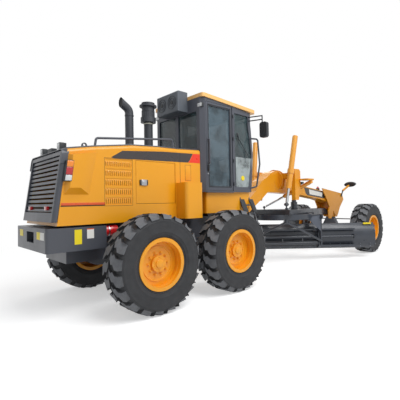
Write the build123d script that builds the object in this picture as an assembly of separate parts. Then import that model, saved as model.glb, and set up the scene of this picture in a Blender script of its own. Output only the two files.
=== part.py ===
from build123d import *
import math
import os

# Motor grader, in millimetres with +Z up. Everything is drawn about the machine's own
# centre line: X runs forward from the middle between the two rear axles, Y to the left
# and Z up from the ground. One vector at the end moves it all onto its own footprint.

# Overall layout
wheelbase = 6219.0
tandem_spacing = 1538.0
track = 2156.0
running_clearance = 0.05
moving_gap = 5.0
seat_gap = 0.3

# Tyres and rims, measured from each wheel's middle plane
tyre_radius = 668.0
tyre_width = 440.0
tyre_crown_half = 150.0
tyre_shoulder_half = 200.0
tyre_shoulder_drop = 22.0
bead_radius = 317.0
rim_half_width = 195.0
rim_flange_radius = 350.0
rim_flange_thickness = 15.0
rim_wall = 17.0
rim_dish_start = 52.0
rim_dish_thickness = 18.0
hub_radius = 110.0
hub_inner = 95.0
hub_outer = 110.0
spindle_radius = 60.0
spindle_reach = 70.0

# Rear frame
rail_inner = 250.0
rail_outer = 400.0
rail_bottom = 700.0
rail_top = 1215.0
rail_rear_x = -1685.0
rail_front_x = 1300.0
cross_member_length = 150.0
axle_housing_radius = 200.0
tandem_inner = 640.0
tandem_outer = 840.0
tandem_half_height = 230.0
tandem_boss_radius = 140.0
tandem_boss_gap = 8.0

# Counterweight and the boxes beside the frame
weight_rear_x = -2005.0
weight_half_width = 638.0
weight_bottom = 886.0
weight_top = 1188.0
side_box_front_x = -1238.0
side_box_gap = 5.0
weight_corner = 40.0
hitch_half_width = 155.0
hitch_depth = 150.0
hitch_bottom = 990.0
hitch_top = 1130.0
hitch_pin_radius = 25.0
hitch_pin_inset = 70.0

# Joint between the two frames
pivot_x = 1480.0
pivot_pin_radius = 60.0
pivot_lug_radius = 130.0
fork_thickness = 40.0
fork_bottom = 895.0
tongue_half_width = 130.0

# Engine, hood and cowl
hood_half_width = 640.0
hood_bottom = rail_top
hood_wall = 20.0
hood_top_radius = 50.0
hood_front_x = 459.0
cowl_depth = 58.0
cowl_corner = 45.0
cowl_slat_count = 12
cowl_slat_height = 36.0
cowl_slat_setback = 18.0
cowl_border = 75.0
cowl_foot = 120.0
engine_rear_x = -1500.0
engine_front_x = 300.0
engine_half_width = 420.0
engine_top = 2050.0
hood_door_rear_x = -778.0
hood_door_front_x = -75.0
hood_door_bottom = 1474.0
hood_door_top = 2102.0
louvre_rear_x = -1245.0
louvre_front_x = -850.0
louvre_bottom = 1465.0
louvre_top = 2098.0
louvre_count = 5
louvre_gap = 34.0
louvre_depth = 6.0

# Side tanks
tank_rear_x = -55.0
tank_front_x = 301.0
tank_half_width = 900.0
tank_bottom = 1225.0
tank_top = 1793.0
tank_corner = 60.0

# Cab
cab_wall = 50.0
cab_rear_x = 465.0
cab_rear_half = 640.0
cab_post_x = 530.0
cab_half_width = 712.0
cab_quarter_x = 1225.0
cab_front_half = 690.0
cab_front_side_x = 1760.0
cab_nose_x = 1848.0
cab_nose_half = 655.0
cab_floor = 1650.0
cab_sill_front_x = 1731.0
cab_nose_z = 2392.0
cab_header_z = 2979.0
cab_header_x = 1746.0
cab_top_rear = 3296.0
cab_top_front = 3212.0
roof_thickness = 65.0
roof_overhang = 22.0
roof_corner = 60.0
base_rear_x = 585.0
base_front_x = 1740.0
base_half_width = 650.0
base_bottom = 1280.0
base_corner = 40.0
door_rear_x = 553.0
door_front_x = 1203.0
door_bottom = 1672.0
door_top = 3222.0
door_border = 58.0
pane_sill = 23.0
glass_thickness = 8.0
door_pin_radius = 10.0
door_pin_length = 30.0

# Front frame
beam_half_width = 150.0
head_plate_inner = 180.0
head_plate_thickness = 25.0
tow_pin_radius = 22.0

# Front axle, wheel lean and steering
kingpin_offset = 800.0
axle_z = tyre_radius
axle_half_depth = 65.0
axle_half_height = 70.0
axle_eye_radius = 60.0
axle_eye_half = 62.0
lean_pin_radius = 25.0
yoke_plate_inner = 66.0
yoke_plate_outer = 84.0
yoke_inboard = 50.0
yoke_outboard = 40.0
yoke_shelf_low = 130.0
yoke_shelf_high = 155.0
kingpin_radius = 22.0
ear_thickness = 25.0
ear_half_width = 45.0
knuckle_plate_near = 125.0
knuckle_plate_far = 155.0
knuckle_plate_half = 60.0
steer_arm_length = 200.0
steer_arm_radius = 18.0
steer_ball_height = 64.0
steer_ball_radius = 24.0
steer_stud_radius = 14.0
tie_rod_radius = 20.0
lean_arm_height = 225.0
lean_link_pin_radius = 18.0
open_eye_clearance = 6.0

# Drawbar and its ball
ball_setback = 332.0
ball_x = wheelbase - ball_setback
small_hinge_pin = 5.0
ball_z = 1110.0
swing_pin_radius = 30.0
swing_hub_radius = 55.0
swing_ear_low = 1000.0
swing_ear_high = 1220.0
swing_ear_thickness = 30.0
drawbar_ear_inner = 62.0
drawbar_ear_thickness = 30.0
drawbar_ear_radius = 50.0
drawbar_leg_width = 110.0
drawbar_slope = 0.214
drawbar_rear_x = 3060.0
drawbar_floor = 1150.0
lift_ball_x = 3195.0
lift_ball_y = 500.0
lift_ball_z = 1370.0
lift_ball_radius = 38.0
lift_socket_radius = 58.0
socket_lip = 12.0
open_eye_gap = 5.0

# Circle and blade, in a frame turned with the blade
circle_x = 3644.0
blade_angle = 44.3
ring_inner = 690.0
ring_outer = 765.0
ring_bottom = 1020.0
ring_top = 1145.0
arm_near = 900.0
arm_thickness = 35.0
arm_front_y = -170.0
arm_waist_y = -250.0
arm_back_y = -330.0
arm_bottom = 385.0
gusset_length = 120.0
pitch_y = -215.0
pitch_z = 430.0
pitch_tube_radius = 42.0
pitch_pin_radius = 30.0
blade_length = 3965.0
blade_bottom = 265.0
blade_height = 615.0
blade_radius = 413.0
blade_thickness = 22.0
blade_chord_y = 70.0
blade_shift = 340.0
rail_depth = 30.0
rail_height = 40.0
rail_web = 14.0
rail_stand_off = 26.0
upper_rail_z = 744.0
lower_rail_z = 347.0
shift_rod_z = 570.0
rail_left_end = -1610.0
rail_right_end = 1460.0
shoe_half_length = 60.0
shoe_wall = 16.0
shoe_clearance = 1.0

# Blade lift and centre-shift cylinders
lift_top = (3467.0, 604.0, 2980.0)
trunnion_x = 3325.0
trunnion_z = 2150.0
trunnion_pin_radius = 30.0
lift_barrel_radius = 65.0
lift_bore_radius = 45.0
lift_rod_radius = 35.0
lift_barrel_bottom_z = 1750.0
lift_up_travel = 225.0
saddle_rear_x = 3420.0
saddle_front_x = 3650.0
saddle_plate_inner = 500.0
saddle_plate_outer = 600.0
shift_top = (3800.0, -790.0, 1905.0)
shift_ball = (3500.0, 389.0, 1310.0)
shift_barrel_radius = 48.0
shift_rod_radius = 25.0
shift_barrel_share = 0.56
shift_travel = 330.0
shift_stud_radius = 15.0
shift_socket_radius = 34.0
shift_eye_gap = 22.0

rear_x = -tandem_spacing / 2
middle_x = tandem_spacing / 2
front_x = wheelbase
wheel_y = track / 2


def block(x0, x1, y0, y1, z0, z1):
    """Block between two corners."""
    centre = Pos((x0 + x1) / 2, (y0 + y1) / 2, (z0 + z1) / 2)
    return centre * Box(x1 - x0, y1 - y0, z1 - z0)


def rod(start, end, radius):
    """Round bar between two points."""
    first = Vector(*start)
    run = Vector(*end) - first
    bottom = (Align.CENTER, Align.CENTER, Align.MIN)
    return Plane(origin=first, z_dir=run) * Cylinder(radius, run.length, align=bottom)


def ball(centre, radius):
    """Solid ball."""
    return Pos(*centre) * Sphere(radius)


def side_plate(points, y0, y1):
    """Plate with an (x, z) outline, between two values of y."""
    face = Plane.XZ.offset(-y1) * make_face(Polyline(*points, close=True))
    return extrude(face, amount=y1 - y0, dir=(0, -1, 0))


def plan_plate(points, z0, z1):
    """Plate with an (x, y) outline, between two heights."""
    face = Pos(0, 0, z0) * make_face(Polyline(*points, close=True))
    return extrude(face, amount=z1 - z0, dir=(0, 0, 1))


def cross_plate(points, x0, x1):
    """Plate with a (y, z) outline, between two values of x."""
    face = Plane.YZ.offset(x0) * make_face(Polyline(*points, close=True))
    return extrude(face, amount=x1 - x0, dir=(1, 0, 0))


def tube(points, radius, bend):
    """Round bar along straight runs with the same bend at each corner."""
    path = FilletPolyline(*points, radius=bend)
    start = Plane(origin=path @ 0, z_dir=path % 0)
    return sweep(start * Circle(radius), path=path)


def twin(shape):
    """The same piece on the other side of the centre line."""
    return mirror(shape, about=Plane.XZ)


def both(shape):
    """A piece and its twin."""
    return shape + twin(shape)


def wheel_piece(shape, x, side):
    """Place a wheel piece drawn with its outboard side at +Y."""
    placed = shape if side > 0 else twin(shape)
    return Pos(x, side * wheel_y, axle_z) * placed


pieces = {}
sides = (("right", -1), ("left", 1))

# Wheels: a dished rim with a blind bore, and a closed tyre on it
rim = rod((0, -rim_half_width, 0), (0, rim_half_width, 0), bead_radius)
for edge in (-1, 1):
    inner_edge = edge * (rim_half_width - rim_flange_thickness)
    rim += rod((0, inner_edge, 0), (0, edge * rim_half_width, 0), rim_flange_radius)
rim -= rod((0, -rim_half_width, 0), (0, rim_half_width, 0), bead_radius - rim_wall)
dish_end = rim_dish_start + rim_dish_thickness
rim += rod((0, rim_dish_start, 0), (0, dish_end, 0), bead_radius - rim_wall / 2)
rim += rod((0, -hub_inner, 0), (0, hub_outer, 0), hub_radius)
bore_end = spindle_reach + running_clearance
rim -= rod((0, -hub_inner, 0), (0, bore_end, 0), spindle_radius + running_clearance)

bead_half = rim_half_width - rim_flange_thickness
side_half = tyre_width / 2
tyre_outline = [
    (bead_radius, -bead_half),
    (rim_flange_radius + 6.0, -bead_half),
    (rim_flange_radius + 30.0, -side_half + 14.0),
    ((bead_radius + tyre_radius) / 2, -side_half),
    (tyre_radius - tyre_shoulder_drop * 3, -side_half + 6.0),
    (tyre_radius - tyre_shoulder_drop, -tyre_shoulder_half),
    (tyre_radius, -tyre_crown_half),
    (tyre_radius, tyre_crown_half),
    (tyre_radius - tyre_shoulder_drop, tyre_shoulder_half),
    (tyre_radius - tyre_shoulder_drop * 3, side_half - 6.0),
    ((bead_radius + tyre_radius) / 2, side_half),
    (rim_flange_radius + 30.0, side_half - 14.0),
    (rim_flange_radius + 6.0, bead_half),
    (bead_radius, bead_half),
]
tyre = revolve(make_face(Polyline(*tyre_outline, close=True)), Axis.Y, 360)

axles = (("rear", rear_x), ("middle", middle_x), ("front", front_x))
for axle_name, axle_x in axles:
    for side_name, side in sides:
        pieces[f"rim_{axle_name}_{side_name}"] = wheel_piece(rim, axle_x, side)
        pieces[f"tyre_{axle_name}_{side_name}"] = wheel_piece(tyre, axle_x, side)

# Rear chassis: two rails, cross members, the axle housing and the pivot fork
fork_top = base_bottom - 15.0
cross_rear_x = rail_front_x - cross_member_length
chassis = both(block(rail_rear_x, rail_front_x, rail_inner, rail_outer, rail_bottom, rail_top))
for member_x in (rail_rear_x, rail_rear_x / 2):
    member_end = member_x + cross_member_length
    chassis += block(member_x, member_end, -rail_inner, rail_inner, rail_bottom, rail_top)
chassis += block(cross_rear_x, rail_front_x, -rail_outer, rail_outer, fork_bottom, fork_top)
housing_end = (0, tandem_inner, axle_z)
chassis += rod((0, -tandem_inner, axle_z), housing_end, axle_housing_radius)
pivot_axis_low = (pivot_x, 0, fork_bottom)
for lug_low in (fork_bottom, fork_top - fork_thickness):
    lug_high = lug_low + fork_thickness
    chassis += block(rail_front_x, pivot_x, -pivot_lug_radius, pivot_lug_radius, lug_low, lug_high)
    chassis += rod((pivot_x, 0, lug_low), (pivot_x, 0, lug_high), pivot_lug_radius)
chassis += rod(pivot_axis_low, (pivot_x, 0, fork_top), pivot_pin_radius)
mount_length = cross_member_length
for mount_x in (base_rear_x + rail_inner, cross_rear_x):
    mount_end = mount_x + mount_length
    mount = block(mount_x, mount_end, rail_inner, rail_outer, rail_top, base_bottom)
    chassis += both(mount)
pieces["rear_chassis"] = chassis

# Tandem boxes that carry the rear and middle wheels
tandem_box = block(
    rear_x, middle_x, tandem_inner, tandem_outer,
    axle_z - tandem_half_height, axle_z + tandem_half_height,
)
boss_end = wheel_y - hub_inner - tandem_boss_gap
for hub_x in (rear_x, middle_x):
    end_face = (hub_x, tandem_outer, axle_z)
    tandem_box += rod((hub_x, tandem_inner, axle_z), end_face, tandem_half_height)
    tandem_box += rod(end_face, (hub_x, boss_end, axle_z), tandem_boss_radius)
    spindle_end = (hub_x, wheel_y + spindle_reach, axle_z)
    tandem_box += rod(end_face, spindle_end, spindle_radius)
pieces["tandem_axle"] = both(tandem_box)

# Counterweight with its hitch pocket, and the boxes beside the frame
weight = block(
    weight_rear_x, rail_rear_x, -weight_half_width, weight_half_width,
    weight_bottom, weight_top,
)
rear_corners = weight.edges().filter_by(Axis.Z).group_by(Axis.X)[0]
weight = fillet(rear_corners, radius=weight_corner)
weight -= block(
    weight_rear_x, weight_rear_x + hitch_depth, -hitch_half_width, hitch_half_width,
    hitch_bottom, hitch_top,
)
hitch_pin_x = weight_rear_x + hitch_pin_inset
pin_hole = rod((hitch_pin_x, 0, weight_bottom), (hitch_pin_x, 0, weight_top), hitch_pin_radius)
weight -= pin_hole
side_box = block(
    rail_rear_x, side_box_front_x, rail_outer + side_box_gap, weight_half_width,
    weight_bottom, weight_top,
)
pieces["rear_counterweight"] = weight + both(side_box)

# Engine, one plain block on the rails
pieces["engine_block"] = block(
    engine_rear_x, engine_front_x, -engine_half_width, engine_half_width, rail_top, engine_top,
)

# Hood: a sheet shell, open below and behind, with a door opening on each side
cowl_line = [(-1935.0, 1262.0), (-1801.0, 2182.0)]
hood_top_line = [
    (-1745.0, 2192.0),
    (-1389.0, 2252.0),
    (-821.0, 2326.0),
    (-372.0, 2347.0),
    (20.0, 2350.0),
    (hood_front_x, 2371.0),
]
hood_rear_low = (cowl_line[0][0] + cowl_depth, hood_bottom)
hood_side = [hood_rear_low] + hood_top_line + [(hood_front_x, hood_bottom)]
hood_body = side_plate(hood_side, -hood_half_width, hood_half_width)
long_edges = hood_body.edges().filter_by(GeomType.LINE)
top_edges = [
    edge for edge in long_edges
    if abs(abs(edge.center().Y) - hood_half_width) < 1.0
    and edge.center().Z > hood_top_line[0][1] - 1.0
    and abs(edge.tangent_at(0.5).X) > 0.9
]
hood_body = fillet(top_edges, radius=hood_top_radius)
inner_face = offset(make_face(Polyline(*hood_side, close=True)), amount=-hood_wall)
inner_half = hood_half_width - hood_wall
inner_face = Plane.XZ.offset(-inner_half) * inner_face
hood_hollow = extrude(inner_face, amount=2 * inner_half, dir=(0, -1, 0))
hood_floor_opening = block(
    hood_rear_low[0] + 2 * hood_wall, hood_front_x - hood_wall, -inner_half, inner_half,
    hood_bottom, hood_bottom + 2 * hood_wall,
)
hood = hood_body - hood_hollow - hood_floor_opening
rear_cut_line = [
    (hood_rear_low[0] - hood_wall, hood_bottom + 2 * hood_wall),
    (hood_top_line[0][0] - hood_wall, hood_top_line[0][1] - 3 * hood_wall),
    (hood_top_line[0][0] + 3 * hood_wall, hood_top_line[0][1] - 3 * hood_wall),
    (hood_rear_low[0] + 3 * hood_wall, hood_bottom + 2 * hood_wall),
]
rear_cut_half = inner_half - hood_wall
hood -= side_plate(rear_cut_line, -rear_cut_half, rear_cut_half)


def leaf_and_opening(x0, x1, z0, z1, outer_y, wall, pin_radius, pin_length):
    """Door leaf hinged at its rounded front edge, its opening and its two pins."""
    edge_radius = wall / 2
    hinge_x = x1 - edge_radius
    hinge_y = outer_y - edge_radius
    leaf = block(x0, hinge_x, outer_y - wall, outer_y, z0, z1)
    leaf += rod((hinge_x, hinge_y, z0), (hinge_x, hinge_y, z1), edge_radius)
    opening = block(
        x0 - moving_gap, x1 + moving_gap, outer_y - wall * 1.5, outer_y + wall,
        z0 - moving_gap, z1 + moving_gap,
    )
    pins = None
    for end, way in ((z0, 1), (z1, -1)):
        foot = (hinge_x, hinge_y, end - way * moving_gap)
        tip = (hinge_x, hinge_y, end + way * pin_length)
        hole_end = (hinge_x, hinge_y, end + way * (pin_length + moving_gap))
        leaf -= rod((hinge_x, hinge_y, end), hole_end, pin_radius + running_clearance)
        pin = rod(foot, tip, pin_radius)
        pins = pin if pins is None else pins + pin
    return leaf, opening, pins


hood_leaf, hood_opening, hood_pins = leaf_and_opening(
    hood_door_rear_x, hood_door_front_x, hood_door_bottom, hood_door_top,
    hood_half_width, hood_wall, small_hinge_pin, door_pin_length,
)
latch_x = hood_door_rear_x + 114.0
latch_z = (hood_door_bottom + hood_door_top) / 2
latch_foot = (latch_x, hood_half_width, latch_z)
hood_leaf += rod(latch_foot, (latch_x, hood_half_width + 14.0, latch_z), 32.0)
hood -= both(hood_opening)
louvre_pitch = (louvre_top - louvre_bottom + louvre_gap) / louvre_count
for band in range(louvre_count):
    band_low = louvre_bottom + band * louvre_pitch
    band_high = band_low + louvre_pitch - louvre_gap
    hood -= both(block(
        louvre_rear_x, louvre_front_x, hood_half_width - louvre_depth, hood_half_width,
        band_low, band_high,
    ))
hood += both(hood_pins)
pieces["engine_hood"] = hood
pieces["hood_door_right"] = twin(hood_leaf)
pieces["hood_door_left"] = hood_leaf

# Cowl behind the radiator: a leaning frame with level slats
lean_run = cowl_line[1][0] - cowl_line[0][0]
lean_rise = cowl_line[1][1] - cowl_line[0][1]
lean_ratio = lean_run / lean_rise


def leaning(low, high, start, end):
    """Outline of a bar that leans with the cowl, from start to end behind its face."""
    base = cowl_line[0][0]
    foot = base + (low - cowl_line[0][1]) * lean_ratio
    head = base + (high - cowl_line[0][1]) * lean_ratio
    return [(foot + start, low), (head + start, high), (head + end, high), (foot + end, low)]


cowl_low = cowl_line[0][1]
cowl_high = cowl_line[1][1]
cowl = side_plate(leaning(cowl_low, cowl_high, 0, cowl_depth), -hood_half_width, hood_half_width)
cowl_middle_x = (cowl_line[0][0] + cowl_line[1][0]) / 2
cowl_rim = [
    edge for edge in cowl.edges()
    if abs(edge.center().X - cowl_middle_x) < 1.0 and abs(edge.center().Y) > 1.0
    or abs(edge.center().X - cowl_line[1][0]) < 1.0 and abs(edge.center().Y) < 1.0
]
cowl = fillet(cowl_rim, radius=cowl_corner)
window_low = cowl_low + cowl_foot
window_high = cowl_high - cowl_border
window_half = hood_half_width - cowl_border
cowl -= side_plate(
    leaning(window_low, window_high, -cowl_depth, 2 * cowl_depth), -window_half, window_half
)
slat_pitch = (window_high - window_low) / cowl_slat_count
for slat in range(cowl_slat_count):
    slat_low = window_low + (slat + 0.5) * slat_pitch - cowl_slat_height / 2
    slat_outline = leaning(slat_low, slat_low + cowl_slat_height, cowl_slat_setback, cowl_depth)
    cowl += side_plate(slat_outline, -window_half, window_half)
pieces["radiator_cowl"] = cowl - hood_body

# Side tanks with round upright corners, on the hood's sides
tank = block(tank_rear_x, tank_front_x, hood_half_width, tank_half_width, tank_bottom, tank_top)
tank_corners = tank.edges().filter_by(Axis.Z).group_by(Axis.Y)[-1]
pieces["side_tanks"] = both(fillet(tank_corners, radius=tank_corner))

# Cab base, with the cab shell standing on it
base = block(
    base_rear_x, base_front_x, -base_half_width, base_half_width, base_bottom, cab_floor,
)
pieces["cab_base"] = fillet(base.edges().filter_by(Axis.Z), radius=base_corner)

cab_plan_half = [
    (cab_rear_x, cab_rear_half),
    (cab_post_x, cab_half_width),
    (cab_quarter_x, cab_half_width),
    (cab_front_side_x, cab_front_half),
    (cab_nose_x, cab_nose_half),
]
cab_plan = cab_plan_half + [(x, -y) for x, y in reversed(cab_plan_half)]
cab_top_slope = (cab_top_rear - cab_top_front) / (cab_nose_x - cab_rear_x)


def cab_top(x):
    """Height of the cab's sloping top."""
    return cab_top_rear - (x - cab_rear_x) * cab_top_slope


cab_side = [
    (cab_rear_x, cab_floor),
    (cab_sill_front_x, cab_floor),
    (cab_nose_x, cab_nose_z),
    (cab_header_x, cab_header_z),
    (cab_header_x, cab_top(cab_header_x)),
    (cab_rear_x, cab_top_rear),
]


def cab_body(inset):
    """Solid with the cab's outer shape, moved inwards all round but open at the floor."""
    plan = make_face(Polyline(*cab_plan, close=True))
    side = make_face(Polyline(*cab_side, close=True))
    if inset > 0:
        plan = offset(plan, amount=-inset)
        side = offset(side, amount=-inset)
    column = extrude(Pos(0, 0, cab_floor) * plan, amount=roof_top_z - cab_floor, dir=(0, 0, 1))
    profile = Plane.XZ.offset(-base_half_width * 2) * side
    body = column & extrude(profile, amount=base_half_width * 4, dir=(0, -1, 0))
    if inset > 0:
        foot = extrude(Pos(0, 0, cab_floor) * plan, amount=2 * inset, dir=(0, 0, 1))
        body += foot & block(
            cab_rear_x, cab_sill_front_x - inset, -cab_half_width, cab_half_width,
            cab_floor, cab_floor + 2 * inset,
        )
    return body


roof_top_z = cab_top_rear + roof_thickness
cab_outer = cab_body(0)
cab_shell = cab_outer - cab_body(cab_wall)
pillar = 80.0
sill_z = cab_floor + 95.0
header_z = cab_top_front - 80.0
quarter_rear_x = cab_quarter_x + 45.0
quarter_outline = [
    (quarter_rear_x, sill_z),
    (cab_sill_front_x - pillar, sill_z),
    (cab_nose_x - pillar - 6.0, cab_nose_z),
    (cab_header_x - pillar, cab_header_z - 20.0),
    (cab_header_x - pillar, header_z),
    (quarter_rear_x, header_z),
]
far_side = cab_half_width + cab_wall
quarter_cut = side_plate(quarter_outline, cab_nose_half - 2 * cab_wall, far_side)
front_half = cab_nose_half - pillar
front_cut = block(
    cab_sill_front_x - 3 * cab_wall, cab_nose_x + cab_wall, -front_half, front_half,
    sill_z, header_z,
)
rear_window_low = 2425.0
rear_window_high = 3060.0
rear_post_half = 40.0
rear_cut = block(
    cab_rear_x - cab_wall, cab_rear_x + cab_wall * 1.2, rear_post_half, cab_rear_half - pillar,
    rear_window_low, rear_window_high,
)
windows = both(quarter_cut) + front_cut + both(rear_cut)
cab_leaf, cab_opening, cab_pins = leaf_and_opening(
    door_rear_x, door_front_x, door_bottom, door_top,
    cab_half_width, cab_wall, door_pin_radius, door_pin_length,
)
cab_frame = cab_shell - windows - both(cab_opening) + both(cab_pins)
pieces["cab_frame"] = cab_frame

# Fixed panes stand in the middle of the walls
glass_inset = (cab_wall - glass_thickness) / 2
pane_layer = cab_body(glass_inset) - cab_body(glass_inset + glass_thickness)
pieces["cab_glass"] = pane_layer & windows

# Cab doors with one tall pane each
pane_rear_x = door_rear_x + door_border
pane_front_x = door_front_x - door_border - 10.0
pane_y = cab_half_width - cab_wall + glass_inset
pane_low = door_bottom + door_border + pane_sill
pane_high = door_top - door_border
cab_leaf -= block(
    pane_rear_x, pane_front_x, cab_half_width - cab_wall, cab_half_width, pane_low, pane_high,
)
pane = block(pane_rear_x, pane_front_x, pane_y, pane_y + glass_thickness, pane_low, pane_high)
grab_x = door_rear_x + door_border / 2
grab_out = cab_half_width + 48.0
grab_points = [
    (grab_x, cab_half_width, 2150.0),
    (grab_x, grab_out, 2150.0),
    (grab_x, grab_out, 2560.0),
    (grab_x, cab_half_width, 2560.0),
]
cab_leaf += tube(grab_points, 12.0, 20.0)
pieces["cab_door_right"] = twin(cab_leaf)
pieces["cab_door_left"] = cab_leaf
pieces["door_glass_right"] = twin(pane)
pieces["door_glass_left"] = pane

# Roof cap over the cab and past its windscreen
roof_front_x = cab_nose_x + roof_overhang
roof_side = [
    (cab_rear_x, cab_top_rear),
    (roof_front_x, cab_top(roof_front_x)),
    (roof_front_x, cab_top(roof_front_x) + roof_thickness),
    (cab_rear_x, roof_top_z),
]
roof_half = cab_half_width + roof_overhang
roof = side_plate(roof_side, -roof_half, roof_half)
roof_plan = block(
    cab_rear_x, roof_front_x, -roof_half, roof_half, cab_header_z, roof_top_z + roof_thickness,
)
roof_plan = fillet(roof_plan.edges().filter_by(Axis.Z), radius=roof_corner)
pieces["cab_roof"] = roof & roof_plan

# Air conditioner on the back of the cab
cooler_rear_x = 247.0
cooler_half_width = 322.0
cooler_bottom = 3084.0
cooler_top = 3441.0
cooler = block(
    cooler_rear_x, cab_rear_x, -cooler_half_width, cooler_half_width, cooler_bottom, cooler_top,
)
cooler_rear_edges = cooler.edges().group_by(Axis.X)[0]
pieces["air_conditioner"] = fillet(cooler_rear_edges, radius=18.0)

# Seat, steering column and extinguisher on the cab floor
seat_x = 900.0
seat = block(seat_x + 60.0, seat_x + 300.0, -170.0, 170.0, cab_floor, 2010.0)
seat += block(seat_x, seat_x + 430.0, -250.0, 250.0, 2010.0, 2130.0)
seat_back = [(seat_x, 2130.0), (seat_x + 110.0, 2130.0), (seat_x + 20.0, 2760.0), (seat_x - 70.0, 2760.0)]
seat += side_plate(seat_back, -235.0, 235.0)
for arm_y in (-300.0, 250.0):
    seat += block(seat_x + 60.0, seat_x + 330.0, arm_y, arm_y + 50.0, 2080.0, 2330.0)
column = block(1500.0, 1640.0, -150.0, 150.0, cab_floor, 2080.0)
column += rod((1560.0, 0, 2060.0), (1450.0, 0, 2330.0), 40.0)
wheel_plane = Plane(origin=(1450.0, 0, 2330.0), z_dir=(-110.0, 0, 270.0))
column += wheel_plane * Torus(190.0, 16.0)
column += wheel_plane * Cylinder(60.0, 30.0)
for spoke_turn in (0, 120, 240):
    column += wheel_plane * Rot(0, 0, spoke_turn) * Pos(95.0, 0, 0) * Box(200.0, 24.0, 12.0)
bottle = rod((640.0, -585.0, cab_floor), (640.0, -585.0, cab_floor + 420.0), 58.0)
bottle += rod((640.0, -585.0, cab_floor + 420.0), (640.0, -585.0, cab_floor + 490.0), 22.0)
pieces["cab_interior"] = seat + column + bottle

# Exhaust stack and air intake on the hood
stack_y = -150.0
exhaust_x = -600.0
exhaust_radius = 66.0
exhaust_bore = 58.0
exhaust_bend_z = 2977.0
exhaust_run = 210.0
exhaust_rise = 144.0
exhaust_mouth_x = exhaust_x - 145.0
exhaust_knee = (exhaust_x, stack_y, exhaust_bend_z)
exhaust_end = (exhaust_x - exhaust_run, stack_y, exhaust_bend_z + exhaust_rise)
exhaust_foot = (exhaust_x, stack_y, hood_top_line[2][1] - 30.0)
stacks = tube([exhaust_foot, exhaust_knee, exhaust_end], exhaust_radius, 110.0)
bore_start = (exhaust_x - exhaust_run * 0.45, stack_y, exhaust_bend_z + exhaust_rise * 0.45)
bore_end = (exhaust_x - exhaust_run * 1.2, stack_y, exhaust_bend_z + exhaust_rise * 1.2)
stacks -= rod(bore_start, bore_end, exhaust_bore)
stacks -= block(
    exhaust_mouth_x - exhaust_run, exhaust_mouth_x, stack_y - 2 * exhaust_radius,
    stack_y + 2 * exhaust_radius, exhaust_bend_z - exhaust_rise, exhaust_bend_z + 2 * exhaust_rise,
)
flare_height = 110.0
flare_spread = 62.0
stacks += Pos(exhaust_x, stack_y, exhaust_foot[2] + 79.0) * Cone(
    exhaust_radius + flare_spread, exhaust_radius, flare_height,
)
intake_x = -246.0
intake_foot_z = 2300.0
intake_steps = (
    # bottom, top, radius: pipe, collar, body, brim and crown
    (intake_foot_z, 2830.0, 72.0),
    (2822.0, 2905.0, 125.0),
    (2905.0, 3085.0, 104.0),
    (3085.0, 3110.0, 143.0),
    (3110.0, 3152.0, 108.0),
)
intake = Pos(intake_x, stack_y, 2380.0) * Cone(112.0, intake_steps[0][2], 90.0)
for step_low, step_high, step_radius in intake_steps:
    intake += rod((intake_x, stack_y, step_low), (intake_x, stack_y, step_high), step_radius)
pieces["hood_stacks"] = (stacks + intake) - hood_body

# Work lamps on the hood's rear edge, tail lamps on its sides
lamp_x = -1714.0
tail_lamp_rear_x = -1742.0
lamp_y = 346.0
lamp_rear = 40.0
lamp_front = 45.0
lamp_low = 2196.0
lamp_places = (
    # middle y, half width, height
    (-lamp_y, 50.0, 102.0),
    (lamp_y, 50.0, 102.0),
    (0.0, 80.0, 66.0),
)
lamps = None
for y, half, high in lamp_places:
    lamp = block(
        lamp_x - lamp_rear, lamp_x + lamp_front, y - half, y + half, lamp_low, lamp_low + high,
    )
    lamps = lamp if lamps is None else lamps + lamp
tail_lamp = block(tail_lamp_rear_x, tail_lamp_rear_x + 55.0, hood_half_width, hood_half_width + 16.0, 1778.0, 2028.0)
pieces["rear_lamps"] = (lamps - hood_body - cowl) + both(tail_lamp)

# Tube rails: along the hood's top, and at the cab's front corners
grip_radius = 16.0
hood_rail_y = 560.0
hood_rail = tube(
    [
        (-1365.0, hood_rail_y, 2200.0),
        (-1337.0, hood_rail_y, 2379.0),
        (-64.0, hood_rail_y, 2504.0),
        (-40.0, hood_rail_y, 2300.0),
    ],
    grip_radius, 40.0,
) - hood_body
cab_rail = tube(
    [
        (1690.0, cab_front_half - 40.0, 2715.0),
        (1800.0, 825.0, 2685.0),
        (1800.0, 865.0, 2192.0),
        (1785.0, 790.0, 1760.0),
        (1670.0, cab_front_half - 40.0, 1712.0),
    ],
    grip_radius, 45.0,
) - cab_outer
lifting_eye = rod((-1500.0, 548.0, 2262.0), (-1500.0, 572.0, 2262.0), 36.0)
lifting_eye -= rod((-1500.0, 548.0, 2268.0), (-1500.0, 572.0, 2268.0), 18.0)
pieces["hand_rails"] = both(hood_rail) + both(cab_rail) + both(lifting_eye - hood_body)

# Ladders at the front of the cab base, leaning out towards the ground
ladder_tube_radius = 18.0
ladder_top = (base_half_width - 20.0, 1555.0)
ladder_foot = (865.0, 1045.0)
ladder_stations = (1452.0, 1710.0)
ladder = None
for station in ladder_stations:
    upper = (station, ladder_top[0], ladder_top[1])
    lower = (station, ladder_foot[0], ladder_foot[1])
    stringer = rod(upper, lower, ladder_tube_radius)
    ladder = stringer if ladder is None else ladder + stringer
for share in (0.3, 0.62, 0.96):
    rung_y = ladder_top[0] + (ladder_foot[0] - ladder_top[0]) * share
    rung_z = ladder_top[1] + (ladder_foot[1] - ladder_top[1]) * share
    ladder += rod(
        (ladder_stations[0], rung_y, rung_z), (ladder_stations[1], rung_y, rung_z), 14.0,
    )
pieces["ladders"] = both(ladder - base)

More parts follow.
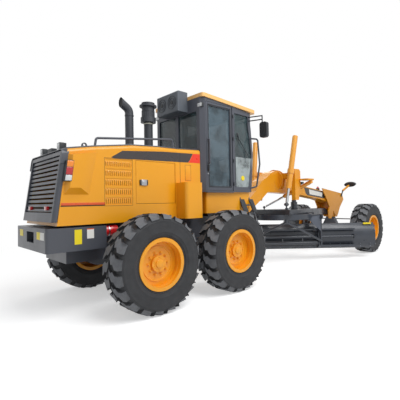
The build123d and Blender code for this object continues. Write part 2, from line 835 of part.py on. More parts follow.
# Mirrors on double tube arms at the cab's front corners
mirror_x = 1661.0
mirror_arm_radius = 11.0
mirror_y = 1100.0
mirror_z = 2806.0
mirror_height = 290.0
mirror_width = 165.0
mirror_arm_inset = 40.0
mirror_body = block(
    mirror_x - 35.0, mirror_x + 35.0, mirror_y - mirror_width / 2, mirror_y + mirror_width / 2,
    mirror_z - mirror_height / 2, mirror_z + mirror_height / 2,
)
mirror_body = fillet(mirror_body.edges().filter_by(Axis.X), radius=45.0)
mirror_arm_y = mirror_y - mirror_arm_inset
mirror_arms = (
    # height at the cab, height at the hanger
    (3125.0, 3080.0),
    (3050.0, 3010.0),
)
for arm_root_z, arm_tip_z in mirror_arms:
    root = (1700.0, cab_front_half - 30.0, arm_root_z)
    mirror_body += rod(root, (mirror_x, mirror_arm_y, arm_tip_z), mirror_arm_radius)
hanger_top = (mirror_x, mirror_arm_y, mirror_arms[0][1])
mirror_body += rod(hanger_top, (mirror_x, mirror_arm_y, mirror_z), mirror_arm_radius)
mirror_body += ball(hanger_top, mirror_arm_radius)
pieces["mirrors"] = both(mirror_body - cab_outer)

# Front frame: pivot tongue, rising neck, hump, long beam and nose head
tongue_bottom = fork_bottom + fork_thickness + moving_gap
tongue_top = fork_top - fork_thickness - moving_gap
neck_rear_x = 1870.0
neck_outline = [
    (neck_rear_x, tongue_bottom),
    (neck_rear_x, 1285.0),
    (2000.0, 1290.0),
    (2535.0, 1700.0),
    (2609.0, 1791.0),
    (2758.0, 1931.0),
    (2986.0, 2043.0),
    (3130.0, 2140.0),
    (3264.0, 2185.0),
    (3420.0, 2182.0),
    (3591.0, 2152.0),
    (3886.0, 1988.0),
    (4199.0, 1881.0),
    (front_x - 910.0, 1748.0),
    (front_x + 335.0, 1585.0),
    (front_x + 381.0, 1500.0),
    (front_x + 341.0, 1360.0),
    (front_x - 219.0, 1370.0),
    (front_x - 910.0, 1500.0),
    (4199.0, 1631.0),
    (3570.0, 1658.0),
    (2972.0, 1680.0),
    (2743.0, 1518.0),
    (2506.0, 1375.0),
    (2010.0, 1050.0),
]
frame = side_plate(neck_outline, -beam_half_width, beam_half_width)
tongue_low = (pivot_x, 0, tongue_bottom)
tongue_high = (pivot_x, 0, tongue_top)
frame += block(
    pivot_x, neck_rear_x + 40.0, -tongue_half_width, tongue_half_width, tongue_bottom, tongue_top,
)
frame += rod(tongue_low, tongue_high, tongue_half_width)
frame -= rod(tongue_low, tongue_high, pivot_pin_radius + running_clearance)
head_outline = [
    (front_x - 819.0, 1798.0),
    (front_x - 104.0, 1709.0),
    (front_x + 335.0, 1654.0),
    (front_x + 409.0, 1562.0),
    (front_x + 450.0, 1466.0),
    (front_x + 211.0, 1246.0),
    (front_x + 104.0, 1077.0),
    (front_x + 31.0, 990.0),
    (front_x - 69.0, 990.0),
    (ball_x + 127.0, 1145.0),
    (ball_x + 43.0, 985.0),
    (ball_x - 17.0, 920.0),
    (ball_x - 139.0, 934.0),
    (ball_x - 174.0, 1132.0),
    (ball_x - 96.0, 1263.0),
    (ball_x - 242.0, 1476.0),
    (ball_x - 366.0, 1631.0),
]
head_plate_outer = head_plate_inner + head_plate_thickness
head_web_low = 1400.0
head_web_high = 1560.0
frame += both(side_plate(head_outline, head_plate_inner, head_plate_outer))
frame += block(
    front_x - 419.0, front_x + 321.0, -head_plate_inner, head_plate_inner, head_web_low,
    head_web_high,
)
carrier_rear_x = ball_x + 98.0
frame += block(
    carrier_rear_x, carrier_rear_x + 75.0, -head_plate_inner, head_plate_inner,
    swing_ear_low, 1420.0,
)
swing_ear_radius = 60.0
for ear_low in (swing_ear_low, swing_ear_high - swing_ear_thickness):
    ear_high = ear_low + swing_ear_thickness
    frame += block(ball_x, carrier_rear_x, -swing_ear_radius, swing_ear_radius, ear_low, ear_high)
    frame += rod((ball_x, 0, ear_low), (ball_x, 0, ear_high), swing_ear_radius)
swing_line = ((ball_x, 0, swing_ear_low), (ball_x, 0, swing_ear_high))
frame -= rod(swing_line[0], swing_line[1], swing_pin_radius + running_clearance)
pivot_block_bottom = 960.0
pivot_block_half = 75.0
frame += block(
    front_x - pivot_block_half, front_x + pivot_block_half, -head_plate_inner, head_plate_inner,
    pivot_block_bottom, 1420.0,
)
tow_x = front_x + pivot_block_half + 70.0
tow_low = 1000.0
tow_high = 1040.0
frame += block(front_x, tow_x, -60.0, 60.0, tow_low, tow_high)
frame += rod((tow_x, 0, tow_low), (tow_x, 0, tow_high), 60.0)
frame -= rod((tow_x, 0, tow_low), (tow_x, 0, tow_high), tow_pin_radius)
saddle_drum = None
saddle_drum_steps = (
    # rear x, front x, radius
    (3392.0, 3424.0, 262.0),
    (3424.0, 3490.0, 236.0),
    (3490.0, 3522.0, 262.0),
)
saddle_drum_z = 1965.0
for drum_rear, drum_front, drum_radius in saddle_drum_steps:
    ring = rod((drum_rear, 0, saddle_drum_z), (drum_front, 0, saddle_drum_z), drum_radius)
    saddle_drum = ring if saddle_drum is None else saddle_drum + ring
frame += saddle_drum
pieces["front_frame"] = frame

# Saddle on the beam: side plates, arms to the beam and the centre-shift pin
saddle_outline = [
    (saddle_rear_x, 1480.0),
    (3560.0, 1480.0),
    (saddle_front_x, 1750.0),
    (saddle_front_x, 2160.0),
    (3600.0, 2210.0),
    (saddle_rear_x, 2210.0),
]
saddle = side_plate(saddle_outline, saddle_plate_inner, saddle_plate_outer)
saddle += block(
    saddle_rear_x + 20.0, saddle_front_x - 20.0, beam_half_width, saddle_plate_inner,
    1990.0, 2130.0,
)
trunnion_y = lift_top[1] + (lift_ball_y - lift_top[1]) * (
    (lift_top[2] - trunnion_z) / (lift_top[2] - lift_ball_z)
)
trunnion_reach = saddle_rear_x + 60.0
saddle -= rod(
    (saddle_rear_x - 1.0, trunnion_y, trunnion_z), (trunnion_reach, trunnion_y, trunnion_z),
    trunnion_pin_radius + running_clearance,
)
shift_eye_half = 32.0
shift_pin_radius = 20.0
shift_shelf_gap = 5.0
shelf_low = shift_top[2] + shift_eye_half + shift_shelf_gap
shelf_high = shelf_low + 35.0
shift_shelf = block(
    saddle_front_x - 80.0, shift_top[0] + 50.0, shift_top[1] - 50.0, -saddle_plate_outer,
    shelf_low, shelf_high,
)
shift_shelf += rod(
    (shift_top[0], shift_top[1], shift_top[2] - shift_eye_half - shift_shelf_gap),
    (shift_top[0], shift_top[1], shelf_low), shift_pin_radius,
)
pieces["saddle"] = (both(saddle) + shift_shelf) - saddle_drum

# Blind-spot mirror on the nose
spot_centre = (front_x + 627.0, -350.0, 1930.0)
spot_reach = 52.0
spot_arm = tube(
    [
        (6500.0, -head_plate_inner - 40.0, 1560.0),
        (6560.0, -head_plate_outer - 40.0, 1740.0),
        spot_centre,
    ],
    18.0, 60.0,
)
spot_plane = Plane(origin=spot_centre, x_dir=(0, 1, 0), z_dir=(-0.94, 0, -0.34))
spot_mirror = extrude(spot_plane * Ellipse(180.0, 74.0), amount=28.0, both=True)
pieces["front_mirror"] = (spot_arm + spot_mirror) - frame


def at_kingpin(shape):
    """Place a left-hand steering piece drawn about its own lean axis."""
    return Pos(front_x, kingpin_offset, axle_z) * shape


# Front axle beam with an eye at each end and a tower up to the nose
axle = block(
    front_x - axle_half_depth, front_x + axle_half_depth, -740.0, 740.0,
    axle_z - axle_half_height, axle_z + axle_half_height,
)
tower_half = 110.0
tower = [
    (-2.4 * tower_half, axle_z), (2.4 * tower_half, axle_z),
    (tower_half, pivot_block_bottom), (-tower_half, pivot_block_bottom),
]
axle += cross_plate(tower, front_x - axle_half_depth, front_x + axle_half_depth)
eye = rod((-axle_eye_half, 0, 0), (axle_eye_half, 0, 0), axle_eye_radius)
eye += block(-axle_eye_half, axle_eye_half, -70.0, 0, -axle_eye_radius, axle_eye_radius)
axle += both(at_kingpin(eye))
lean_bore = rod(
    (-axle_eye_half, 0, 0), (axle_eye_half, 0, 0), lean_pin_radius + running_clearance,
)
pieces["front_axle"] = axle - both(at_kingpin(lean_bore))

# Lean yokes: plates fore and aft of the axle eye, shelves with the kingpin stubs
yoke = rod((-yoke_plate_outer, 0, 0), (yoke_plate_outer, 0, 0), lean_pin_radius)
for end in (-1, 1):
    plate_x = sorted((end * yoke_plate_inner, end * yoke_plate_outer))
    yoke += block(*plate_x, -yoke_inboard, yoke_outboard, -yoke_shelf_high, yoke_shelf_high)
    shelf_z = sorted((end * yoke_shelf_low, end * yoke_shelf_high))
    yoke += block(-yoke_plate_outer, yoke_plate_outer, -yoke_inboard, yoke_outboard, *shelf_z)
    stub_end = end * (yoke_shelf_high + moving_gap + ear_thickness)
    yoke += rod((0, 0, end * yoke_shelf_high), (0, 0, stub_end), kingpin_radius)
lean_neck_half = 18.0
ear_top = yoke_shelf_high + moving_gap + ear_thickness
yoke += block(
    yoke_plate_inner, yoke_plate_outer, -yoke_inboard, -yoke_inboard + 2 * lean_neck_half,
    yoke_shelf_low, ear_top + 2 * moving_gap,
)
lean_head_half = lean_link_pin_radius + 8.0
yoke += block(
    yoke_plate_inner, yoke_plate_outer, -yoke_inboard, lean_head_half,
    ear_top + 2 * moving_gap, lean_arm_height + lean_head_half,
)
bar_near = yoke_plate_outer + moving_gap
bar_far = bar_near + 30.0
yoke += rod(
    (yoke_plate_outer, 0, lean_arm_height), (bar_far + moving_gap, 0, lean_arm_height),
    lean_link_pin_radius,
)
pieces["lean_yoke_left"] = at_kingpin(yoke)
pieces["lean_yoke_right"] = twin(at_kingpin(yoke))

# Steering knuckles: two ears on the kingpin stubs, a spindle and a steering arm
knuckle = block(
    -knuckle_plate_half, knuckle_plate_half, knuckle_plate_near, knuckle_plate_far,
    -ear_top, ear_top,
)
for end in (-1, 1):
    ear_z = sorted((end * (ear_top - ear_thickness), end * ear_top))
    ear = block(-ear_half_width, ear_half_width, 0, knuckle_plate_far, *ear_z)
    ear += rod((0, 0, ear_z[0]), (0, 0, ear_z[1]), ear_half_width)
    ear -= rod((0, 0, ear_z[0]), (0, 0, ear_z[1]), kingpin_radius + running_clearance)
    knuckle += ear
spindle_tip = wheel_y - kingpin_offset + spindle_reach
knuckle += rod((0, knuckle_plate_far, 0), (0, spindle_tip, 0), spindle_radius)
arm_eye_radius = steer_stud_radius + 20.0
arm_root = (-knuckle_plate_half, (knuckle_plate_near + knuckle_plate_far) / 2, 0)
knuckle += rod(arm_root, (-steer_arm_length, 0, 0), steer_arm_radius)
knuckle += ball(arm_root, steer_arm_radius)
arm_eye_half = steer_arm_radius + 4.0
eye_low = (-steer_arm_length, 0, -arm_eye_half)
eye_high = (-steer_arm_length, 0, arm_eye_half)
knuckle += rod(eye_low, eye_high, arm_eye_radius)
stud_top = (-steer_arm_length, 0, steer_ball_height)
stud = rod(eye_low, stud_top, steer_stud_radius) + ball(stud_top, steer_ball_radius)
left_knuckle = knuckle - rod(eye_low, eye_high, steer_stud_radius + running_clearance)
pieces["steering_knuckle_left"] = at_kingpin(left_knuckle)
fixed_stud = rod(eye_high, stud_top, steer_stud_radius) + ball(stud_top, steer_ball_radius)
pieces["steering_knuckle_right"] = twin(at_kingpin(knuckle + fixed_stud))
pieces["tie_rod_end"] = at_kingpin(stud)

# Tie rod between the studs, and the bar that makes both wheels lean together
ring_half = 24.0
tie_x = front_x - steer_arm_length
tie_z = axle_z + steer_ball_height
tie_rod = rod((tie_x, -kingpin_offset, tie_z), (tie_x, kingpin_offset, tie_z), tie_rod_radius)
tie_ring_outer = steer_ball_radius + open_eye_clearance + 12.0
for side, gap in ((1, seat_gap), (-1, open_eye_clearance)):
    ring_low = (tie_x, side * kingpin_offset, tie_z - ring_half)
    ring_high = (tie_x, side * kingpin_offset, tie_z + ring_half)
    tie_rod += rod(ring_low, ring_high, tie_ring_outer)
for side, gap in ((1, seat_gap), (-1, open_eye_clearance)):
    ring_low = (tie_x, side * kingpin_offset, tie_z - ring_half)
    ring_seat = (tie_x, side * kingpin_offset, tie_z)
    tie_rod -= rod(ring_low, ring_seat, steer_ball_radius + gap)
    tie_rod -= ball(ring_seat, steer_ball_radius + gap)
pieces["tie_rod"] = tie_rod

lean_bar_z = axle_z + lean_arm_height
bar_middle_x = (bar_near + bar_far) / 2 + front_x
lean_bar = rod(
    (bar_middle_x, -kingpin_offset, lean_bar_z), (bar_middle_x, kingpin_offset, lean_bar_z),
    (bar_far - bar_near) / 2,
)
lean_eye_radius = lean_link_pin_radius + 14.0
for side in (1, -1):
    eye_start = (front_x + bar_near, side * kingpin_offset, lean_bar_z)
    eye_finish = (front_x + bar_far, side * kingpin_offset, lean_bar_z)
    lean_bar += rod(eye_start, eye_finish, lean_eye_radius)
for side, gap in ((1, running_clearance), (-1, open_eye_clearance)):
    eye_start = (front_x + bar_near, side * kingpin_offset, lean_bar_z)
    eye_finish = (front_x + bar_far, side * kingpin_offset, lean_bar_z)
    lean_bar -= rod(eye_start, eye_finish, lean_link_pin_radius + gap)
pieces["lean_bar"] = lean_bar

# Drawbar: a cross at the ball, then an A-frame back over the circle
nose_cross = rod(swing_line[0], swing_line[1], swing_pin_radius)
hub_low = (ball_x, 0, ball_z - swing_hub_radius)
nose_cross += rod(hub_low, (ball_x, 0, ball_z + swing_hub_radius), swing_hub_radius)
cross_reach = drawbar_ear_inner + drawbar_ear_thickness
nose_cross += rod((ball_x, -cross_reach, ball_z), (ball_x, cross_reach, ball_z), swing_pin_radius)
pieces["drawbar_ball"] = nose_cross

nose_block_front_x = ball_x - 87.0
nose_block_rear_x = ball_x - 407.0
nose_half = drawbar_ear_inner + drawbar_ear_thickness
leg_start_x = ball_x - 187.0
leg_knee_x = ball_x - 887.0


def leg_outer(x):
    """Outer edge of a drawbar leg at this x."""
    return nose_half + 15.0 + (leg_start_x - x) * drawbar_slope


leg = plan_plate(
    [
        (nose_block_front_x, 0.0),
        (nose_block_front_x, nose_half),
        (leg_start_x, leg_outer(leg_start_x)),
        (drawbar_rear_x, leg_outer(drawbar_rear_x)),
        (drawbar_rear_x, leg_outer(drawbar_rear_x) - drawbar_leg_width),
        (nose_block_rear_x, leg_outer(nose_block_rear_x) - drawbar_leg_width),
        (nose_block_rear_x, 0.0),
    ],
    ring_bottom - 60.0, lift_ball_z,
)
arm_sweep = math.hypot(arm_near + arm_thickness, arm_back_y - gusset_length)
floor_front_x = circle_x + arm_sweep + 2 * moving_gap
leg_low = 1005.0
drawbar_top = 1262.0
drawbar_side = [
    (nose_block_front_x, ball_z - 35.0),
    (ball_x - 287.0, 1056.0),
    (leg_knee_x, leg_low),
    (floor_front_x + 90.0, leg_low),
    (floor_front_x, drawbar_floor),
    (drawbar_rear_x, drawbar_floor),
    (drawbar_rear_x, drawbar_top),
    (leg_knee_x, 1232.0),
    (leg_start_x, 1228.0),
    (nose_block_front_x, ball_z + 70.0),
]
wide = leg_outer(drawbar_rear_x) + 1.0
drawbar = both(leg) & side_plate(drawbar_side, -wide, wide)
member_half_length = 90.0
cross_members = (
    # middle x, top height
    (lift_ball_x, drawbar_top),
    (circle_x + ring_inner - 70.0, 1240.0),
)
for member_x, member_top in cross_members:
    inner = leg_outer(member_x) - drawbar_leg_width / 2
    drawbar += block(
        member_x - member_half_length, member_x + member_half_length, -inner, inner,
        drawbar_floor, member_top,
    )
ear_body = block(
    nose_block_front_x - 30.0, ball_x, drawbar_ear_inner, nose_half,
    ball_z - drawbar_ear_radius, ball_z + drawbar_ear_radius,
)
ear_body += rod(
    (ball_x, drawbar_ear_inner, ball_z), (ball_x, nose_half, ball_z), drawbar_ear_radius,
)
ear_body -= rod(
    (ball_x, drawbar_ear_inner, ball_z), (ball_x, nose_half, ball_z),
    swing_pin_radius + running_clearance,
)
drawbar += both(ear_body)
post_radius = 34.0
post_base = (lift_ball_x, lift_ball_y, drawbar_top)
post_head = (lift_ball_x, lift_ball_y, lift_ball_z)
lift_joint = ball(post_head, lift_socket_radius) - block(
    lift_ball_x - lift_socket_radius, lift_ball_x + lift_socket_radius,
    lift_ball_y - lift_socket_radius, lift_ball_y + lift_socket_radius,
    lift_ball_z - lift_socket_radius, lift_ball_z - socket_lip,
)
lift_joint += rod(post_base, post_head, post_radius / 2) + ball(post_head, lift_ball_radius)
drawbar += both(lift_joint)
drawbar += both(Pos(lift_ball_x, lift_ball_y, drawbar_top + 20.0) * Cylinder(post_radius, 40.0))
shift_foot = (shift_ball[0], shift_ball[1], drawbar_floor + 60.0)
drawbar += rod(shift_foot, shift_ball, shift_stud_radius) + ball(shift_ball, shift_socket_radius)
drawbar += block(
    shift_ball[0] - 2 * shift_socket_radius, shift_ball[0] + 2 * shift_socket_radius,
    shift_ball[1] - shift_stud_radius, leg_outer(shift_ball[0]) - drawbar_leg_width / 2,
    drawbar_floor, shift_ball[2] - 2 * shift_socket_radius,
)
motor_x = circle_x + ring_inner - 70.0
drawbar += rod((motor_x, 0, 1240.0), (motor_x, 0, 1430.0), 85.0)
drawbar += rod((motor_x, 0, 1430.0), (motor_x, 0, 1480.0), 60.0)
drawbar += rod((motor_x, 0, ring_bottom + 10.0), (motor_x, 0, drawbar_floor), 62.0)

# Guide shoes hook under the ring from inside, with a wear pad on its top
shoe_lip = 22.0
ring_middle = (ring_inner + ring_outer) / 2
shoe_top = drawbar_floor
for turn in (35.5, 120.8):
    shoe = block(
        ring_inner - 90.0, ring_inner - moving_gap, -70.0, 70.0,
        ring_bottom - moving_gap - shoe_lip, shoe_top + 20.0,
    )
    shoe += block(
        ring_inner - 90.0, ring_inner + shoe_lip, -70.0, 70.0,
        ring_bottom - moving_gap - shoe_lip, ring_bottom - moving_gap,
    )
    shoe += block(
        ring_inner + shoe_lip, ring_outer - shoe_lip, -60.0, 60.0,
        ring_top + seat_gap, shoe_top + 10.0,
    )
    placed = Pos(circle_x, 0, 0) * Rot(0, 0, turn) * shoe
    drawbar += both(placed)
pieces["drawbar"] = drawbar


def at_circle(shape):
    """Place a piece drawn in the blade's own frame: X along it, Y forward."""
    return Pos(circle_x, 0, 0) * Rot(0, 0, -blade_angle) * shape


# Circle: the ring, a beam out to each arm, the arms and their braces
circle = rod((0, 0, ring_bottom), (0, 0, ring_top), ring_outer)
circle -= rod((0, 0, ring_bottom), (0, 0, ring_top), ring_inner)
arm_far = arm_near + arm_thickness
arm_mid = (arm_near + arm_far) / 2
beam_inner_x = math.sqrt(ring_middle ** 2 - arm_back_y ** 2) - 10.0
beam_part = block(beam_inner_x, arm_far, arm_back_y, arm_front_y, ring_bottom, ring_top - 20.0)
arm_outline = [
    (arm_back_y, arm_bottom),
    (arm_front_y, arm_bottom),
    (arm_front_y, pitch_z + 35.0),
    (arm_waist_y + 35.0, pitch_z + 105.0),
    (arm_waist_y, upper_rail_z + 60.0),
    (arm_waist_y, ring_bottom - 40.0),
    (arm_front_y, ring_bottom),
    (arm_front_y, ring_top - 20.0),
    (arm_back_y, ring_top - 20.0),
]
beam_part += cross_plate(arm_outline, arm_near, arm_far)
gusset = [
    (arm_back_y, ring_bottom - 20.0),
    (arm_back_y - gusset_length, ring_bottom + 40.0),
    (arm_back_y - gusset_length, ring_top - 20.0),
    (arm_back_y + 10.0, ring_top - 20.0),
]
beam_part += cross_plate(gusset, arm_near, arm_far)
pin_hole = rod(
    (arm_near, pitch_y, pitch_z), (arm_far, pitch_y, pitch_z), pitch_pin_radius + running_clearance,
)
beam_part -= pin_hole
apex = (0.0, -(ring_outer - 8.0), ring_bottom + 20.0)
apex_low = (0.0, -(ring_outer - 8.0), ring_bottom - 40.0)
brace_end = (arm_mid, arm_back_y + 10.0, pitch_z + 60.0)
beam_part += rod(apex_low, brace_end, 24.0)
circle += beam_part + mirror(beam_part, about=Plane.YZ)
circle += rod(apex_low, apex, 38.0) + ball(apex_low, 38.0)
circle -= rod((0, 0, ring_bottom), (0, 0, ring_top), ring_inner)
pieces["circle"] = at_circle(circle)

# Moldboard: a curved plate with its edge, two rails and the side-shift rod behind
half_angle = math.asin(blade_height / 2 / blade_radius)
blade_mid_z = blade_bottom + blade_height / 2
arc_centre_y = blade_chord_y + blade_radius * math.cos(half_angle)
blade_back_y = arc_centre_y - blade_radius - blade_thickness
blade_x0 = blade_shift - blade_length / 2
blade_x1 = blade_shift + blade_length / 2
arc_line = ((blade_x0, arc_centre_y, blade_mid_z), (blade_x1, arc_centre_y, blade_mid_z))
board = rod(arc_line[0], arc_line[1], blade_radius + blade_thickness)
board -= rod(arc_line[0], arc_line[1], blade_radius)
board &= block(
    blade_x0, blade_x1, blade_back_y - 1.0, blade_chord_y + 14.0,
    blade_bottom, blade_bottom + blade_height,
)
edge_height = 150.0
edge_thickness = 16.0
edge_lean = math.degrees(half_angle) - 9.0
edge_plate = Pos(0, blade_chord_y + 10.0, blade_bottom) * Rot(edge_lean, 0, 0) * block(
    blade_x0, blade_x1, -edge_thickness, 0, 4.0, edge_height,
)
board += edge_plate
end_outline = [
    (blade_chord_y + 14.0, blade_bottom + 4.0),
    (blade_chord_y + 14.0, blade_bottom + blade_height - 4.0),
    (blade_back_y + 70.0, blade_bottom + blade_height - 90.0),
    (blade_back_y + 12.0, blade_mid_z + 110.0),
    (blade_back_y + 12.0, blade_mid_z - 110.0),
    (blade_back_y + 70.0, blade_bottom + 90.0),
]
end_plate_thickness = 16.0
board += cross_plate(end_outline, blade_x0, blade_x0 + end_plate_thickness)
board += cross_plate(end_outline, blade_x1 - end_plate_thickness, blade_x1)
rail_x0 = blade_shift + rail_left_end
rail_x1 = blade_shift + rail_right_end
slide_rails = (upper_rail_z, lower_rail_z)


def back_of_blade(z):
    """The blade's back face at this height."""
    return arc_centre_y - math.sqrt((blade_radius + blade_thickness) ** 2 - (z - blade_mid_z) ** 2)


rail_y = blade_back_y - rail_stand_off
for rail_z in slide_rails:
    board += block(rail_x0, rail_x1, rail_y - rail_depth, rail_y, rail_z - rail_height / 2,
                   rail_z + rail_height / 2)
    web_end = back_of_blade(rail_z) + blade_thickness / 2
    board += block(rail_x0, rail_x1, rail_y, web_end, rail_z - rail_web / 2, rail_z + rail_web / 2)
shift_cylinder_radius = 46.0
side_rod_radius = 26.0
side_rod_y = blade_back_y - shift_cylinder_radius - 2 * moving_gap
lug_x0 = rail_x1 - 40.0
board += block(lug_x0, rail_x1, side_rod_y - 45.0, back_of_blade(shift_rod_z) + 8.0,
               shift_rod_z - 45.0, shift_rod_z + 45.0)
side_barrel_end = 700.0
side_shift_left = 850.0
side_rod_end_room = 25.0
side_rod_start = side_shift_left + side_rod_end_room - (arm_near - moving_gap)
board += rod(
    (side_rod_start, side_rod_y, shift_rod_z), (lug_x0, side_rod_y, shift_rod_z), side_rod_radius,
)
pieces["moldboard"] = at_circle(board)

# Blade carriage: cheek plates on the pitch tube, shoes round both rails, side-shift barrel
cheek_far = arm_near - moving_gap
cheek_near = cheek_far - 30.0
carriage = rod((-cheek_near, pitch_y, pitch_z), (cheek_near, pitch_y, pitch_z), pitch_tube_radius)
shoe_back_y = rail_y - rail_depth - shoe_clearance
cheek_outline = [
    (pitch_y - 70.0, pitch_z - 60.0),
    (pitch_y - 70.0, pitch_z + 60.0),
    (shoe_back_y - 60.0, upper_rail_z + 60.0),
    (shoe_back_y, upper_rail_z + 60.0),
    (shoe_back_y, lower_rail_z - 45.0),
    (shoe_back_y - 50.0, lower_rail_z - 45.0),
]
cheek = cross_plate(cheek_outline, cheek_near, cheek_far)
cheek -= rod(
    (cheek_near - 1.0, side_rod_y, shift_rod_z), (cheek_far + 1.0, side_rod_y, shift_rod_z),
    shift_cylinder_radius,
)
cheek += rod((cheek_far, pitch_y, pitch_z), (arm_far, pitch_y, pitch_z), pitch_pin_radius)
shoe_far = cheek_far
shoe_near = cheek_far - 2 * shoe_half_length
lip_y = rail_y + shoe_clearance
for rail_z in slide_rails:
    half = rail_height / 2 + shoe_clearance
    outer = half + shoe_wall
    shell = block(shoe_near, shoe_far, shoe_back_y - shoe_wall, lip_y + 8.0, rail_z - outer,
                  rail_z + outer)
    shell -= block(shoe_near, shoe_far, shoe_back_y, lip_y, rail_z - half, rail_z + half)
    slot_half = rail_web / 2 + shoe_clearance
    shell -= block(shoe_near, shoe_far, lip_y, lip_y + 8.0, rail_z - slot_half, rail_z + slot_half)
    cheek += shell
carriage += cheek + mirror(cheek, about=Plane.YZ)
barrel = rod(
    (-cheek_far - 5.0, side_rod_y, shift_rod_z), (side_barrel_end, side_rod_y, shift_rod_z),
    shift_cylinder_radius,
)
carriage += barrel
for tie_x0 in (-520.0, 0.0, 480.0):
    tie_plate = [
        (pitch_y, pitch_z),
        (side_rod_y - 20.0, shift_rod_z),
        (side_rod_y + 20.0, shift_rod_z),
        (pitch_y + 40.0, pitch_z),
    ]
    carriage += cross_plate(tie_plate, tie_x0, tie_x0 + 25.0)
carriage -= rod(
    (-cheek_far + 20.0, side_rod_y, shift_rod_z), (side_barrel_end, side_rod_y, shift_rod_z),
    side_rod_radius + running_clearance,
)
far_hole_start = (cheek_near - 5.0, side_rod_y, shift_rod_z)
carriage -= rod(
    far_hole_start, (cheek_far + 5.0, side_rod_y, shift_rod_z), side_rod_radius + moving_gap,
)
pieces["blade_carriage"] = at_circle(carriage)

# Blade lift cylinders on their trunnions
lift_foot = Vector(lift_ball_x, lift_ball_y, lift_ball_z)
lift_head = Vector(*lift_top)
lift_way = (lift_head - lift_foot).normalized()


def on_lift(z):
    """Point on the left lift cylinder's line at this height."""
    return lift_foot + lift_way * ((z - lift_foot.Z) / lift_way.Z)


gland_length = 60.0
cap_thickness = 30.0
barrel_low = on_lift(lift_barrel_bottom_z)
barrel_high = lift_head
collar_half = 50.0
trunnion_point = on_lift(trunnion_z)
lift_barrel = rod(barrel_low, barrel_high, lift_barrel_radius)
lift_barrel += rod(
    trunnion_point - lift_way * collar_half, trunnion_point + lift_way * collar_half,
    lift_barrel_radius + 15.0,
)
trunnion_tip = (trunnion_reach - moving_gap, trunnion_point.Y, trunnion_point.Z)
lift_barrel += rod(trunnion_point, trunnion_tip, trunnion_pin_radius)
lift_barrel += rod(barrel_high, barrel_high + lift_way * 12.0, lift_barrel_radius - 20.0)
lift_barrel -= rod(
    barrel_low + lift_way * gland_length, barrel_high - lift_way * cap_thickness,
    lift_bore_radius,
)
lift_barrel -= rod(
    barrel_low, barrel_low + lift_way * gland_length, lift_rod_radius + running_clearance,
)
pieces["lift_barrel_left"] = lift_barrel
pieces["lift_barrel_right"] = twin(lift_barrel)
rod_head = barrel_high - lift_way * (cap_thickness + lift_up_travel + moving_gap)
rod_foot = lift_foot + lift_way * (lift_socket_radius + open_eye_gap)
lift_rod = rod(rod_foot, rod_head, lift_rod_radius)
pieces["lift_rod_left"] = lift_rod
pieces["lift_rod_right"] = twin(lift_rod)

# Centre-shift cylinder from the saddle's right side to the drawbar
shift_head = Vector(*shift_top)
shift_foot_point = Vector(*shift_ball)
shift_way = (shift_foot_point - shift_head).normalized()
shift_length = (shift_foot_point - shift_head).length
barrel_end = shift_head + shift_way * (shift_length * shift_barrel_share)
shift_barrel = rod(shift_head + shift_way * 20.0, barrel_end, shift_barrel_radius)
eye_low = (shift_top[0], shift_top[1], shift_top[2] - shift_eye_half)
eye_high = (shift_top[0], shift_top[1], shift_top[2] + shift_eye_half)
shift_barrel += rod(eye_low, eye_high, shift_pin_radius + 22.0)
shift_barrel -= rod(
    (shift_top[0], shift_top[1], shift_top[2] - 80.0),
    (shift_top[0], shift_top[1], shift_top[2] + 80.0), shift_pin_radius + running_clearance,
)
rod_bore = shift_rod_radius + running_clearance
shift_insertion = shift_travel + 15.0
bore_start = shift_length * shift_barrel_share - shift_insertion - shift_travel - moving_gap
shift_barrel -= rod(shift_head + shift_way * bore_start, barrel_end, rod_bore)
pieces["centre_shift_barrel"] = shift_barrel
rod_start = shift_head + shift_way * (shift_length * shift_barrel_share - shift_insertion)
rod_finish = shift_foot_point - shift_way * (shift_socket_radius + shift_eye_gap)
shift_rod = rod(rod_start, rod_finish, shift_rod_radius)
pieces["centre_shift_rod"] = shift_rod

# The origin goes to the middle of the footprint, on the ground
blade_corners = []
for corner_x in (blade_x0, blade_x1):
    for corner_y in (blade_back_y, blade_chord_y + 14.0):
        turned = Vector(corner_x, corner_y, 0).rotate(Axis.Z, -blade_angle)
        blade_corners.append(turned + Vector(circle_x, 0, 0))
low_y = min(min(corner.Y for corner in blade_corners), -wheel_y - tyre_width / 2)
high_y = max(max(corner.Y for corner in blade_corners), wheel_y + tyre_width / 2)
machine_front_x = max(front_x + tyre_radius, spot_centre[0] + spot_reach)
to_footprint = Pos(-(weight_rear_x + machine_front_x) / 2, -(low_y + high_y) / 2, 0)

os.makedirs("parts", exist_ok=True)
for name, shape in pieces.items():
    export_step(to_footprint * shape, f"parts/{name}.step")
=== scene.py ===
"""Motor grader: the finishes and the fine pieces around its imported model."""

import logging
import math
from dataclasses import dataclass
from enum import Enum
from typing import Iterable, Optional, Sequence

import bmesh
import bpy
from mathutils import Matrix, Vector


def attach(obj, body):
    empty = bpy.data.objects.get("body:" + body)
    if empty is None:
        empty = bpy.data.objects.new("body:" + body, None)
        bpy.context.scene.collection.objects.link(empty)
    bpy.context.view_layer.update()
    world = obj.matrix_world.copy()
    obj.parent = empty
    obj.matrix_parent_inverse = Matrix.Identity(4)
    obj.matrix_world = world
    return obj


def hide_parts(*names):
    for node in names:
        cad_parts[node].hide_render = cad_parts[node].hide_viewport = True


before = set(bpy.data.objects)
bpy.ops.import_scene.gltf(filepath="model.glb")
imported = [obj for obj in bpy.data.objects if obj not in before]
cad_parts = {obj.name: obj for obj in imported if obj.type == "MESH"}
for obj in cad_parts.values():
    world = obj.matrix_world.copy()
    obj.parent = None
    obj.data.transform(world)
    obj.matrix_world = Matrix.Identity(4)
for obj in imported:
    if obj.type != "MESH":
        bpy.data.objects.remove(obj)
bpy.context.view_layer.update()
LOG = logging.getLogger("motor_grader")

